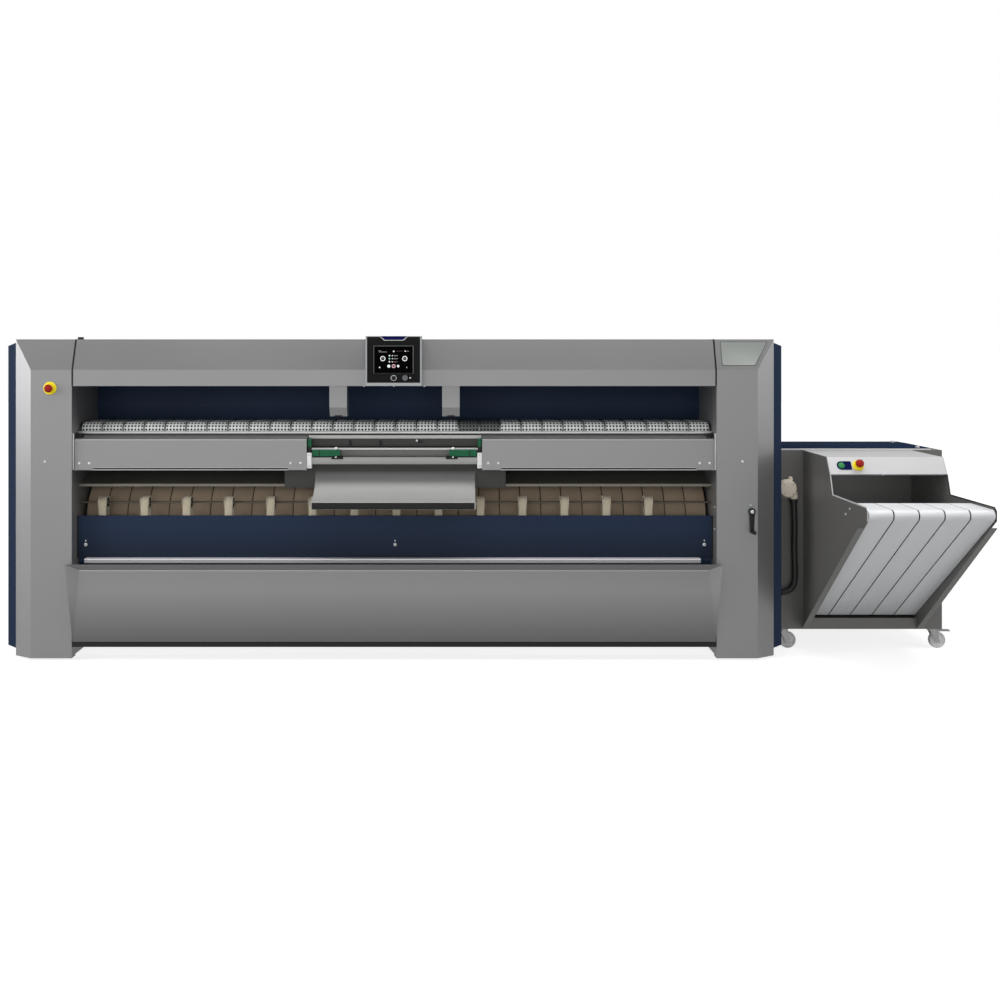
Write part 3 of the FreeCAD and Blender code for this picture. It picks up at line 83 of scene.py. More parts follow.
def colour_property(name, description, code):
    return FloatVectorProperty(
        name=name, description=description, default=tone(code), size=3, subtype="COLOR", min=0, max=1
    )


def length_property(name, description, default):
    return FloatProperty(name=name, description=description, default=default, unit="LENGTH", min=0)


class IronerColours(PropertyGroup):
    """Colours of the covers, belts and fittings."""

    grey: colour_property("Cover grey", "Paint of the columns, beam and tray", "878788")
    blue: colour_property("Cover blue", "Paint of the side panels, hood and guard", "1b2b44")
    frame: colour_property("Frame", "Paint of the inner frame", "232425")
    feed: colour_property("Feed belts", "Cloth of the perforated belts", "f4f8f6")
    feed_dark: colour_property("Marked feed belts", "Cloth of the two dark belts", "696d6a")
    felt: colour_property("Ironing belts", "Needled cloth around the cylinder", "b39f88")
    tape: colour_property("Tapes", "Webbing in front of the cylinder", "c9bfa8")
    conveyor: colour_property("Stacker belts", "Smooth cloth of the stacker", "eff1f3")
    stacker: colour_property("Stacker walls", "Paint of the stacker's cabinet", "6c6b69")
    console: colour_property("Stacker console", "Paint of the stacker's console", "d0d0d1")
    clamp: colour_property("Clamps", "Plastic of the sheet clamps", "1f6142")
    yellow: colour_property("Stop rings", "Plastic of the emergency stops' rings", "f6e02c")
    red: colour_property("Stop heads", "Plastic of the emergency stops' heads", "96190f")
    green: colour_property("Start button", "Plastic of the start button", "2c8a48")
    beige: colour_property("Junction box", "Plastic of the junction box", "f8ecda")


class BeltSizes(PropertyGroup):
    """Sizes of the belts' patterns."""

    hole_across: length_property("Hole pitch across", "Distance of the holes across a belt", 0.0193)
    hole_along: length_property("Hole pitch along", "Distance of the holes along a belt", 0.0193)
    hole_radius: length_property("Hole radius", "Radius of a belt's holes", 0.0057)
    # The dark band along each side of a feed belt is a painted shade that widens the shaded seam between
    # belts.
    hem: length_property("Hem", "Width of the dark hem at each side of a feed belt", 0.003)
    arc_steps: IntProperty(name="Arc steps", description="Steps around a roller", default=28, min=6, max=96)


class StageSettings(PropertyGroup):
    """Light and camera."""

    key: FloatProperty(name="Key light", description="Strength of the large light", default=100, min=0)
    fill: FloatProperty(name="Fill", description="Strength of the even light", default=0.5, min=0)
    lens: FloatProperty(
        name="Lens", description="Focal length", default=37.9, min=1, subtype="DISTANCE_CAMERA"
    )


# ---------------------------------------------------------------- shader maths


class Value:
    """One number of a shader. Python's operators add the Math nodes."""

    def __init__(self, graph, socket):
        self.graph, self.socket = graph, socket

    def math(self, operation, *inputs, clamp=False):
        settings = {"operation": operation, "use_clamp": clamp}
        return self.graph.add("ShaderNodeMath", settings, dict(enumerate(inputs)))

    def __add__(self, other):
        return self.math("ADD", self, other)

    def __sub__(self, other):
        return self.math("SUBTRACT", self, other)

    def __rsub__(self, other):
        return self.math("SUBTRACT", other, self)

    def __mul__(self, other):
        return self.math("MULTIPLY", self, other)

    def __truediv__(self, other):
        return self.math("DIVIDE", self, other)

    def __pow__(self, other):
        return self.math("POWER", self, other)

    __radd__ = __add__

    def clamped(self):
        return self.math("ADD", self, 0.0, clamp=True)

    def wave(self, length):
        """A sine over the given length, from -1 to 1."""
        return self.math("SINE", self * (math.tau / length))

    def cell(self, pitch):
        """The distance from the middle of the nearest cell of a row of equal cells."""
        return (self.math("FRACT", self / pitch) - 0.5) * pitch

    def least(self, other):
        return self.math("MINIMUM", self, other)

    def most(self, other):
        return self.math("MAXIMUM", self, other)

    def size(self):
        return self.math("ABSOLUTE", self)


class Graph:
    """A node tree and one way to add any node to it."""

    def __init__(self, tree):
        self.tree = tree

    def add(self, kind, settings=None, inputs=None, output=0):
        node = self.tree.nodes.new(kind)
        for key, value in (settings or {}).items():
            setattr(node, key, value)
        for key, value in (inputs or {}).items():
            self.feed(node.inputs[key], value)
        return Value(self, node.outputs[output])

    def feed(self, socket, value):
        if isinstance(value, Value):
            self.tree.links.new(value.socket, socket)
        elif socket.type == "RGBA":
            socket.default_value = (*value, 1.0)
        else:
            socket.default_value = value

    def split(self, vector):
        parts = self.add("ShaderNodeSeparateXYZ", {}, {"Vector": vector})
        return [Value(self, socket) for socket in parts.socket.node.outputs]

    def mix(self, amount, low, high):
        settings = {"data_type": "RGBA", "clamp_factor": True}
        return self.add("ShaderNodeMix", settings, {0: amount, 6: low, 7: high}, output=2)

    def rays(self):
        """Whether a ray comes from the camera, off a glossy surface or through a clear one."""
        kinds = ("Camera", "Glossy", "Transmission")
        return [self.add("ShaderNodeLightPath", output=f"Is {kind} Ray") for kind in kinds]


class Paint(Graph):
    """A material and the nodes that feed its one surface."""

    def __init__(self, name):
        self.material = bpy.data.materials.new("ironer_" + name)
        self.material.use_nodes = True
        super().__init__(self.material.node_tree)
        self.surface = self.tree.nodes["Principled BSDF"]

    def place(self, scale=(1, 1, 1), source="Object"):
        """Coordinates of the object, or of its UV map in metres, stretched by a scale."""
        where = self.add("ShaderNodeTexCoord", output=source)
        return self.add("ShaderNodeMapping", {}, {"Vector": where, "Scale": scale})

    def noise(self, where, scale, detail=2.0):
        return self.add("ShaderNodeTexNoise", {}, {"Vector": where, "Scale": scale, "Detail": detail})

    def tint(self, amount, colour, low, high):
        """The colour, from a low to a high share of its brightness."""
        return self.mix(amount, shade(colour, low), shade(colour, high))

    def bump(self, height, distance, strength=1.0):
        return self.add("ShaderNodeBump", {}, {"Height": height, "Distance": distance, "Strength": strength})

    def set(self, **sockets):
        """Sets or links the surface's sockets by their names, with _ for a space."""
        names = {socket.name.lower().replace(" ", "_"): socket for socket in self.surface.inputs}
        for name, value in sockets.items():
            self.feed(names[name], value)
        return self.material

    def veil(self, tint, colour, clear, deep, rest):
        """Painted shade: the tint, turning into a rest of the colour from the clear height to the deep one,
        in metres.
        """
        height = self.split(self.place())[2]
        return self.mix(((height - clear) / (deep - clear)).clamped(), tint, shade(colour, rest))


def shade(colour, factor):
    return tuple(min(1.0, channel * factor) for channel in colour)


def painted(paint, colour, metallic=0.0, roughness=0.45, spread=0.05, gloss=0.5, veil=None):
    """Powder-coated sheet: a faint cloud of colour and a fine orange-peel skin."""
    where = paint.place()
    cloud = paint.noise(where, 1.3, 3.0)
    peel = paint.noise(where, 420.0, 1.0)
    speck = paint.noise(where, 2600.0, 0.0)
    tint = paint.tint(cloud * 0.7 + speck * 0.3, colour, 1 - spread, 1 + spread)
    return paint.set(
        base_color=paint.veil(tint, colour, *veil) if veil else tint,
        roughness=roughness + (cloud - 0.5) * 0.14 + (speck - 0.5) * 0.06,
        metallic=metallic,
        specular_ior_level=gloss,
        normal=paint.bump(peel, 0.00025, 0.18),
    )


def brushed(paint, colour, roughness, metallic, along="x", veil=None):
    """Brushed sheet: long streaks along one axis in its gloss and its skin."""
    fine = {"x": (2, 700, 700), "z": (700, 700, 2)}[along]
    streak = paint.noise(paint.place(fine), 1.0, 2.0)
    wide = paint.noise(paint.place(tuple(v * 0.06 for v in fine)), 1.0, 2.0)
    smudge = paint.noise(paint.place(), 5.0, 3.0)
    tint = paint.tint(streak * 0.6 + wide * 0.4, colour, 0.88, 1.08)
    return paint.set(
        base_color=paint.veil(tint, colour, *veil) if veil else tint,
        roughness=roughness + (streak - 0.5) * 0.16 + (smudge - 0.5) * 0.1,
        metallic=metallic,
        normal=paint.bump(streak, 0.00006, 0.35),
    )


def moulded(paint, colour, roughness, gloss=0.5, grain=900.0):
    """Moulded plastic: an even colour with a fine erosion grain."""
    where = paint.place()
    fine = paint.noise(where, grain, 1.0)
    cloud = paint.noise(where, 9.0, 2.0)
    return paint.set(
        base_color=paint.tint(cloud, colour, 0.94, 1.05),
        roughness=roughness + (fine - 0.5) * 0.12 + (cloud - 0.5) * 0.08,
        specular_ior_level=gloss,
        normal=paint.bump(fine, 0.0001, 0.25),
    )


def cast(paint, colour):
    """Painted casting: a coarse pitted skin, lighter where it is rubbed."""
    where = paint.place()
    pits = paint.noise(where, 210.0, 4.0)
    cloud = paint.noise(where, 14.0, 3.0)
    return paint.set(
        base_color=paint.tint(pits * 0.6 + cloud * 0.4, colour, 0.75, 1.2),
        roughness=0.6 + (pits - 0.5) * 0.25,
        normal=paint.bump(pits, 0.0006, 0.5),
    )


def woven(paint, colour, pitch, contrast, fuzz):
    """Plain weave on the belt's own UV map in metres, over a slow drift of its colour."""
    where = paint.place(source="UV")
    across, along, _ = paint.split(where)
    thread = (across.wave(pitch) * along.wave(pitch)) * 0.5 + 0.5
    cloud = paint.noise(where, 18.0, 4.0)
    drift = paint.noise(paint.place((9, 0.8, 1), "UV"), 1.0, 2.0)
    fibre = paint.noise(where, 1500.0, 2.0)
    body = thread * (1 - fuzz) + fibre * fuzz
    blend = body * 0.5 + cloud * 0.25 + drift * 0.25
    return paint.set(
        base_color=paint.tint(blend, colour, 1 - contrast, 1 + contrast * 0.8),
        roughness=0.85 + (cloud - 0.5) * 0.1,
        sheen_weight=0.2,
        sheen_roughness=0.5,
        normal=paint.bump(body, 0.0004, 0.6),
    )


def perforated(paint, colour):
    """Smooth belting with rows of punched holes, dark inside, and a dark band of painted shade along each
    side for the shaded seam between belts, on its own UV map in metres.
    """
    sizes = bpy.context.scene.ironer_belts
    where = paint.place(source="UV")
    across, along, _ = paint.split(where)
    cross, run = across.cell(sizes.hole_across), along.cell(sizes.hole_along)
    reach = (cross * cross + run * run) ** 0.5
    hole = ((sizes.hole_radius - reach) * 1800 + 0.5).clamped()
    thread = across.wave(0.0012) * along.wave(0.0012) * 0.5 + 0.5
    cloud = paint.noise(where, 14.0, 3.0)
    cloth = paint.tint(cloud * 0.7 + thread * 0.3, colour, 0.88, 1.08)
    half = BELT_WIDTH * 0.0005
    # The dark band along each side is a painted shade for the seam between belts.
    hem = ((across - half).size() * 1000 - (half - sizes.hem) * 1000).clamped()
    return paint.set(
        base_color=paint.mix(hole.most(hem), cloth, (0.012, 0.012, 0.012)),
        roughness=0.6 + hole * 0.3 + (cloud - 0.5) * 0.1,
        normal=paint.bump(thread * 0.04 - hole, 0.0014, 0.6),
    )


def conveyor_cloth(paint, colour):
    """Coated belting: a satin skin with a faint cloth print along its run."""
    where = paint.place(source="UV")
    across, along, _ = paint.split(where)
    thread = across.wave(0.0016) * along.wave(0.0016) * 0.5 + 0.5
    drift = paint.noise(paint.place((14, 1.2, 1), "UV"), 1.0, 3.0)
    speck = paint.noise(where, 60.0, 4.0)
    return paint.set(
        base_color=paint.tint(drift * 0.6 + speck * 0.4, colour, 0.93, 1.05),
        roughness=0.42 + (drift - 0.5) * 0.12 + (speck - 0.5) * 0.1,
        normal=paint.bump(thread, 0.00012, 0.4),
    )


def rubbery(paint, colour, roughness):
    """Rubber or soft vinyl with a dusty bloom."""
    where = paint.place()
    bloom = paint.noise(where, 35.0, 4.0)
    fine = paint.noise(where, 1200.0, 1.0)
    return paint.set(
        base_color=paint.tint(bloom, colour, 0.8, 1.25),
        roughness=roughness + (bloom - 0.5) * 0.2,
        normal=paint.bump(fine, 0.0001, 0.3),
    )


def lit(paint, colour):
    """A patch of a lit display."""
    glow = paint.noise(paint.place(), 700.0, 0.0)
    return paint.set(
        base_color=(0.01, 0.01, 0.01),
        roughness=0.2,
        emission_color=paint.tint(glow, colour, 0.9, 1),
        emission_strength=1.0,
    )


def glassy(paint, colour):
    """A display's dark glass with faint smears in its gloss."""
    smear = paint.noise(paint.place((30, 30, 90)), 1.0, 4.0)
    return paint.set(
        base_color=paint.tint(smear, colour, 0.8, 1.3),
        roughness=0.4 + smear * 0.1,
        specular_ior_level=0.01,
        normal=paint.bump(smear, 0.00002, 0.1),
    )


# Each finish: how it is made, its colour, and its settings. The colour is the name of one of the
# ironer's colours, six hexadecimal digits, or the three numbers of a light.
FINISHES = {
    "grey_paint": (painted, "grey", {"metallic": 0.6, "roughness": 0.42}),
    # The tray's paint darkens towards the bottom: a painted shade.
    "tray_paint": (painted, "grey", {"metallic": 0.6, "roughness": 0.42, "veil": (0.4, 0.127, 0.5)}),
    "blue_paint": (painted, "blue", {"roughness": 0.55, "spread": 0.1, "gloss": 0.2}),
    # The guard's paint darkens towards the bottom: a painted shade.
    "guard_paint": (
        painted,
        "blue",
        {"roughness": 0.55, "spread": 0.1, "gloss": 0.2, "veil": (0.75, 0.59, 0.55)},
    ),
    "lid_paint": (painted, "blue", {"roughness": 0.85, "spread": 0.1, "gloss": 0.03}),
    "frame_paint": (painted, "frame", {"roughness": 0.6, "spread": 0.15, "gloss": 0.2}),
    "feeder_paint": (painted, "424240", {"metallic": 0.3, "roughness": 0.55, "gloss": 0.2}),
    "stacker_grey": (painted, "stacker", {"metallic": 0.35}),
    "stacker_light": (painted, "console", {"metallic": 0.35, "roughness": 0.4}),
    # The chute's steel darkens towards the top: a painted shade under the feeder.
    "chute_steel": (brushed, "a8a8a7", {"roughness": 0.5, "metallic": 0.2, "veil": (1.0, 1.07, 0.12)}),
    "screw_zinc": (brushed, "dadcdc", {"roughness": 0.4, "metallic": 0.3, "along": "z"}),
    "zinc": (brushed, "b9bbbb", {"roughness": 0.38, "metallic": 0.9, "along": "z"}),
    "cast_parts": (cast, "4b5258", {}),
    "feed_cloth": (perforated, "feed", {}),
    "feed_cloth_dark": (perforated, "feed_dark", {}),
    "ironing_cloth": (woven, "felt", {"pitch": 0.003, "contrast": 0.3, "fuzz": 0.7}),
    "tape_cloth": (woven, "tape", {"pitch": 0.0024, "contrast": 0.2, "fuzz": 0.35}),
    "stacker_cloth": (conveyor_cloth, "conveyor", {}),
    "black_face": (moulded, "1a1b1a", {"roughness": 0.6, "gloss": 0.05, "grain": 1400.0}),
    "screen_glass": (glassy, "030303", {}),
    "cable_sheath": (rubbery, "1b1a19", {"roughness": 0.55}),
    "roller_rubber": (rubbery, "161616", {"roughness": 0.75}),
    "tread": (rubbery, "d6d7d9", {"roughness": 0.65}),
    "white_light": (lit, (0.9, 0.92, 0.95), {}),
    "dim_light": (lit, (0.3, 0.29, 0.29), {}),
    "green_light": (lit, (0.35, 0.75, 0.5), {}),
    "red_light": (lit, (0.14, 0.04, 0.04), {}),
    "pink_light": (lit, (0.75, 0.42, 0.5), {}),
}

# Each brushed sheet: its colour, roughness and metal.
STEELS = {
    "bright_steel": ("b4b4b4", 0.4, 0.8),
    "bumper_steel": ("d4d3d6", 0.35, 0.3),
    # Light trims, and light strips along folds and edges that are painted highlights.
    "trim_steel": ("d2d2d2", 0.4, 0.3),
    # A darker sheet for the plate behind the chute and the strip under the feed rail: a painted shade.
    "shield_steel": ("3a3a38", 0.6, 0.2),
    "band_steel": ("6e6e6c", 0.5, 0.3),
    # Light strips along folds and edges: painted highlights.
    "edge_steel": ("b2b2b0", 0.45, 0.3),
    "clamp_steel": ("8f8f8d", 0.45, 0.7),
    "panel_steel": ("95979a", 0.42, 0.7),
    "shaft_steel": ("5d5549", 0.55, 0.2),
    # A darker sheet that shows round the column's plate as a painted shadow line.
    "plate_rim": ("5c605d", 0.5, 0.4),
    "plate_steel": ("969a97", 0.42, 0.5),
    "rail_steel": ("7d7a70", 0.5, 0.3),
    "deck_steel": ("6a6961", 0.5, 0.3),
    # Dark, so that the gaps between the ironing belts look shaded: a painted shade.
    "cylinder_steel": ("35312c", 0.4, 0.7),
    "dull_steel": ("9c9c9c", 0.42, 0.9),
}
for name, (code, roughness, metallic) in STEELS.items():
    FINISHES[name] = (brushed, code, {"roughness": roughness, "metallic": metallic})

# Each plastic: its colour, roughness and gloss.
PLASTICS = {
    "black_plastic": ("1a1a1b", 0.45, 0.2),
    "grey_plastic": ("5b5d5e", 0.45, 0.5),
    "white_plastic": ("f0f0ee", 0.45, 0.5),
    "navy_plastic": ("0a1048", 0.55, 0.06),
    "green_plastic": ("clamp", 0.45, 0.15),
    "red_plastic": ("red", 0.4, 0.2),
    "yellow_plastic": ("yellow", 0.4, 0.2),
    "beige_plastic": ("beige", 0.5, 0.5),
    "start_green": ("green", 0.28, 0.5),
    "screen_rim": ("6a6c6b", 0.5, 0.2),
    "pulley_rim": ("cdc3b0", 0.5, 0.5),
}
for name, (code, roughness, gloss) in PLASTICS.items():
    FINISHES[name] = (moulded, code, {"roughness": roughness, "gloss": gloss})


def finish(name):
    """The named material, made when it is first asked for."""
    made = bpy.data.materials.get("ironer_" + name)
    if made:
        return made
    maker, colour, settings = FINISHES[name]
    if isinstance(colour, str):
        colour = getattr(bpy.context.scene.ironer_colours, colour, None) or tone(colour)
    return maker(Paint(name), colour, **settings)


# ---------------------------------------------------------------- shapes


class Form:
    """Gathers grids of points, in millimetres from the ironer's middle, into one mesh."""

    def __init__(self):
        self.points, self.quads, self.ends, self.maps, self.paints = [], [], [], [], []
        self.count = 0

    def add(self, grid, wrap=(False, False), caps=False, paint=0, uv=None):
        """Joins the neighbours of each (rows, columns) grid by quads; leading axes are copies of it.

        Wrap says whether the rows and the columns run round, and caps close the first and the last row.
        """
        grid = np.asarray(grid, float)
        rows, columns = grid.shape[-3:-1]
        copies = grid.reshape(-1, rows * columns, 3)
        r, c = np.meshgrid(
            np.arange(rows if wrap[0] else rows - 1),
            np.arange(columns if wrap[1] else columns - 1),
            indexing="ij",
        )
        corner = [(r, c), (r + 1, c), (r + 1, c + 1), (r, c + 1)]
        quads = np.stack([(a % rows) * columns + b % columns for a, b in corner], -1).reshape(-1, 4)
        if uv is None:
            uv = np.zeros((rows + 1, columns + 1, 2))
        flat = np.stack([uv[a, b] for a, b in corner], -2).reshape(-1, 4, 2)
        first = self.count + np.arange(len(copies)) * rows * columns
        self.quads.append((first[:, None, None] + quads[None]).reshape(-1, 4))
        self.maps.append(np.tile(flat, (len(copies), 1, 1)))
        self.paints.append(np.full(len(copies) * len(quads), paint))
        if caps:
            for start in first:
                for row in (0, rows - 1):
                    self.ends.append((list(start + row * columns + np.arange(columns)), paint))
        self.points.append(copies.reshape(-1, 3))
        self.count += len(copies) * rows * columns
        return self

    def solid(self, grid, paint=0, at=None):
        """Adds a grid of closed rings with its two ends capped, or a copy of it at each place."""
        return self.add(grid if at is None else spread(grid, at), (False, True), caps=True, paint=paint)

    def block(self, x, y, z, radius, along, edge, paint=0):
        return self.solid(block(x, y, z, radius, along, edge), paint)

    def turn(self, profile, centre, axis, steps=36, paint=0, at=None):
        """Adds a turned profile: a ring if neither of its ends lies on the axis, otherwise a plug."""
        grid = turned(profile, centre, axis, steps)
        ring = min(profile[0][0], profile[-1][0]) > 0
        return self.add(grid if at is None else spread(grid, at), (ring, True), paint=paint)

    def build(self, name, finishes, body="machine", slot=None, replaces=(), angle=35):
        """Makes the mesh, with its faces outwards and its doubles merged, and lets it ride on a body."""
        points = np.concatenate(self.points) * 0.001 + ORIGIN
        quads = np.concatenate(self.quads)
        mesh = bpy.data.meshes.new(name)
        mesh.from_pydata(points.tolist(), [], quads.tolist() + [ring for ring, _ in self.ends])
        paints = np.concatenate([*self.paints, [paint for _, paint in self.ends]]).astype(np.int32)
        mesh.polygons.foreach_set("material_index", paints)
        flat = np.zeros((len(mesh.loops), 2))
        flat[: quads.size] = np.concatenate(self.maps).reshape(-1, 2)
        mesh.uv_layers.new(name="UVMap").data.foreach_set("uv", flat.ravel())
        work = bmesh.new()
        work.from_mesh(mesh)
        bmesh.ops.remove_doubles(work, verts=work.verts, dist=2e-6)
        bmesh.ops.recalc_face_normals(work, faces=work.faces)
        work.to_mesh(mesh)
        work.free()
        for material in finishes:
            mesh.materials.append(finish(material))
        mesh.shade_smooth()
        mesh.set_sharp_from_angle(angle=math.radians(angle))
        piece = bpy.data.objects.new(name, mesh)
        bpy.context.scene.collection.objects.link(piece)
        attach(piece, body)
        if replaces:
            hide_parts(*replaces)


def unit(vectors):
    return vectors / np.maximum(np.linalg.norm(vectors, axis=-1, keepdims=True), 1e-12)


def rounded(corners, radius, steps=4):
    """A polygon whose corners are replaced by parabolic arcs that start one radius from them."""
    corners = np.asarray(corners, float)
    back, onward = np.roll(corners, 1, 0) - corners, np.roll(corners, -1, 0) - corners
    reach = np.minimum(np.linalg.norm(back, axis=1), np.linalg.norm(onward, axis=1)) * 0.49
    reach = np.minimum(np.broadcast_to(radius, reach.shape), reach)[:, None, None]
    t = np.linspace(0, 1, steps)[None, :, None]
    a, b = unit(back)[:, None] * reach, unit(onward)[:, None] * reach
    return (corners[:, None] + a * (1 - t) ** 2 + b * t**2).reshape(-1, 2)


def rectangle(x, y):
    return np.array([(x[0], y[0]), (x[1], y[0]), (x[1], y[1]), (x[0], y[1])], float)


def round_line(centre, radius, steps=32):
    turn = np.linspace(0, math.tau, steps, endpoint=False)
    return np.stack([centre[0] + radius * np.cos(turn), centre[1] + radius * np.sin(turn)], -1)


AXES = {"x": (1, 2, 0), "y": (0, 2, 1), "z": (0, 1, 2)}


def bar(outline, span, along="x", edge=1.0):
    """An outline carried along an axis; its two ends are drawn in by the edge as a small chamfer."""
    outline = np.asarray(outline, float)
    onward, back = np.roll(outline, -1, 0) - outline, outline - np.roll(outline, 1, 0)
    area = np.sum(outline[:, 0] * np.roll(outline[:, 1], -1) - outline[:, 1] * np.roll(outline[:, 0], -1))
    square = unit(unit(onward) + unit(back))[:, ::-1] * (1, -1) * np.sign(area)
    rings = outline[None] - square[None] * np.array([edge, 0, 0, edge])[:, None, None]
    depth = np.array([span[0], span[0] + edge, span[1] - edge, span[1]])
    grid = np.empty((4, len(outline), 3))
    first, second, third = AXES[along]
    grid[..., first], grid[..., second] = rings[..., 0], rings[..., 1]
    grid[..., third] = depth[:, None]
    return grid


def block(x, y, z, radius, along, edge):
    """A cuboid with rounded long edges and chamfered ends."""
    spans = {"x": x, "y": y, "z": z}
    first, second = [axis for axis in "xyz" if axis != along]
    return bar(rounded(rectangle(spans[first], spans[second]), radius, 3), spans[along], along, edge)


def turned(profile, centre, axis, steps=36):
    """A profile of (radius, height) turned around an axis through the centre."""
    profile = np.asarray(profile, float)
    axis = unit(np.asarray(axis, float))
    side = unit(np.cross(axis, (0, 0, 1) if abs(axis[2]) < 0.9 else (1, 0, 0)))
    other = np.cross(axis, side)
    turn = np.linspace(0, math.tau, steps, endpoint=False)[None, :, None]
    spoke = side * np.cos(turn) + other * np.sin(turn)
    return np.asarray(centre, float) + profile[:, None, 1:] * axis + profile[:, None, :1] * spoke


def spread(grid, offsets):
    """Copies of a grid moved by each offset."""
    return np.asarray(grid)[None] + np.asarray(offsets, float)[:, None, None, :]


def loop_line(circles, air, steps):
    """Points and outward normals around circles (depth, height, radius), clockwise seen from the right.

    Between two circles runs their outer tangent: its normal leans from the line of centres by the
    angle whose cosine is the difference of the radii over the distance of the centres.
    """
    y, z, r = np.array(circles, float).T
    dy, dz = np.roll(y, -1) - y, np.roll(z, -1) - z
    leave = np.arctan2(dz, dy) + np.arccos((r - np.roll(r, -1)) / np.hypot(dy, dz))
    arrive = np.roll(leave, 1)
    wrap = (arrive - leave) % math.tau
    angle = arrive[:, None] - wrap[:, None] * np.linspace(0, 1, steps)[None]
    normal = np.stack([np.cos(angle), np.sin(angle)], -1)
    points = np.stack([y, z], -1)[:, None] + normal * (r[:, None, None] + air)
    return points.reshape(-1, 2), normal.reshape(-1, 2)


def carried(line, normal, section):
    """A section of (across, rise) points carried along a line of (depth, height) points with its normals."""
    grid = np.empty((len(line), len(section), 3))
    grid[..., 0] = section[None, :, 0]
    grid[..., 1:] = line[:, None] + normal[:, None] * section[None, :, 1:]
    return grid


def edging(path, x, rise, sink):
    """A thin strip that lies on the upper side of a path of (depth, height) corners listed from the back."""
    path = np.asarray(path, float)
    slope = unit(np.gradient(path, axis=0))
    normal = slope[:, ::-1] * (1, -1)
    return carried(path, normal, rectangle(x, (-sink, rise)))


def pipe(path, radius, across, steps=10):
    """A round wire along a path in a plane; a circle stands square on the path at each point."""
    path, across = np.asarray(path, float), np.asarray(across, float)
    normal = np.cross(unit(np.gradient(path, axis=0)), across)
    turn = np.linspace(0, math.tau, steps, endpoint=False)[None, :, None]
    return path[:, None] + radius * (normal[:, None] * np.cos(turn) + across * np.sin(turn))


def belt(circles, x, width, steps):
    """A flat belt around circles: a rounded strip section carried along the loop, with its UV in metres."""
    line, normal = loop_line(circles, BELT_AIR, steps)
    section = rounded(rectangle((x, x + width), (0, BELT_SKIN)), BELT_EDGE, 3)
    grid = carried(line, normal, section)
    length = np.append(0, np.cumsum(np.linalg.norm(np.roll(line, -1, 0) - line, axis=1))) * 0.001
    across = np.append(section[:, 0], section[0, 0]) * 0.001 - x * 0.001
    return grid, np.stack(np.meshgrid(across, length), -1)


# ---------------------------------------------------------------- the pieces

SIDES = (-1, 1)
TO_LEFT, TO_FRONT, TO_BACK, UP = (-1, 0, 0), (0, -1, 0), (0, 1, 0), (0, 0, 1)
BELT_COUNT, BELT_PITCH, BELT_WIDTH, TAPE_COUNT = 30, 121.8, 116.0, 14
BELT_SKIN, BELT_EDGE, BELT_AIR = 2.0, 0.7, 0.6
FIRST_BELT = -BELT_PITCH * BELT_COUNT / 2 + (BELT_PITCH - BELT_WIDTH) / 2
MARKED_BELTS = (18, 19)
BOLT_HEAD = [(0, 0), (6, 0), (6, 2.4), (4, 3), (0, 3)]


def roller(node, radius):
    """The circle of a roller node: depth and height of its axis, and its radius."""
    low, high = node_box(node)
    return ((low[1] + high[1]) / 2, (low[2] + high[2]) / 2, radius)


def row(count, pitch):
    """The offsets of a row of equal pieces across the machine."""
    return np.outer(np.arange(count) * pitch, (1.0, 0.0, 0.0))


def span(side, near, far):
    """The stretch between two distances from the machine's middle, on one side of it."""
    return sorted((side * near, side * far))


def lay_belts(name, node, finishes, circles, x, width, rows, finer=1):
    """Lays a belt around circles in place of a node, with its copies: one row of offsets for each finish."""
    steps = bpy.context.scene.ironer_belts.arc_steps * finer
    grid, uv = belt(circles, x, width, steps)
    form = Form()
    for paint, offsets in enumerate(rows):
        form.add(spread(grid, offsets), (True, True), paint=paint, uv=uv)
    form.build(name, finishes, replaces=[node])


class IRONER_OT_panels(Operator):
    """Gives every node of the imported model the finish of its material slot, or its own"""

    bl_idname = "ironer.panels"
    bl_label = "Covers and frame"

    def execute(self, context):
        own = {
            "side_frame_left": "grey_paint",
            "side_frame_right": "grey_paint",
            "levelling_feet": "zinc",
            "stacker_bed": "frame_paint",
            "stacker_head_roller": "roller_rubber",
            "stacker_tail_roller": "roller_rubber",
            "feeder_frame": "feeder_paint",
            "return_deck": "deck_steel",
            # The heated cylinder is dark for the shaded gaps between the belts: a painted shade.
            "heated_cylinder": "cylinder_steel",
            "control_housing": "panel_steel",
            "catch_tray": "tray_paint",
            "lower_guard": "guard_paint",
        }
        for part in frame["record"]["subparts"]:
            node = part["node"]
            mesh = frame["nodes"][node].data
            mesh.materials.clear()
            mesh.materials.append(finish(own.get(node, part["material_slot"])))
        return {"FINISHED"}


class IRONER_OT_feed_belts(Operator):
    """Lays the perforated feed belts around their two rollers"""

    bl_idname = "ironer.feed_belts"
    bl_label = "Feed belts"

    def execute(self, context):
        radius = 40.0
        circles = [roller("feed_rear_roller", radius), roller("feed_nose_roller", radius)]
        offsets = row(BELT_COUNT, BELT_PITCH)
        dark = np.isin(np.arange(BELT_COUNT), MARKED_BELTS)
        rows, finishes = (offsets[~dark], offsets[dark]), ["feed_cloth", "feed_cloth_dark"]
        lay_belts("feed_belting", "feed_belts", finishes, circles, FIRST_BELT, BELT_WIDTH, rows)
        return {"FINISHED"}


class IRONER_OT_ironing_belts(Operator):
    """Lays the ironing belts around the heated cylinder and the tension roller"""

    bl_idname = "ironer.ironing_belts"
    bl_label = "Ironing belts"

    def execute(self, context):
        circles = [roller("tension_roller", 60.0), roller("heated_cylinder", 239.5)]
        finishes, rows = ["ironing_cloth"], [row(BELT_COUNT, BELT_PITCH)]
        lay_belts(
            "ironing_belting", "ironing_belts", finishes, circles, FIRST_BELT, BELT_WIDTH, rows, finer=2
        )
        return {"FINISHED"}


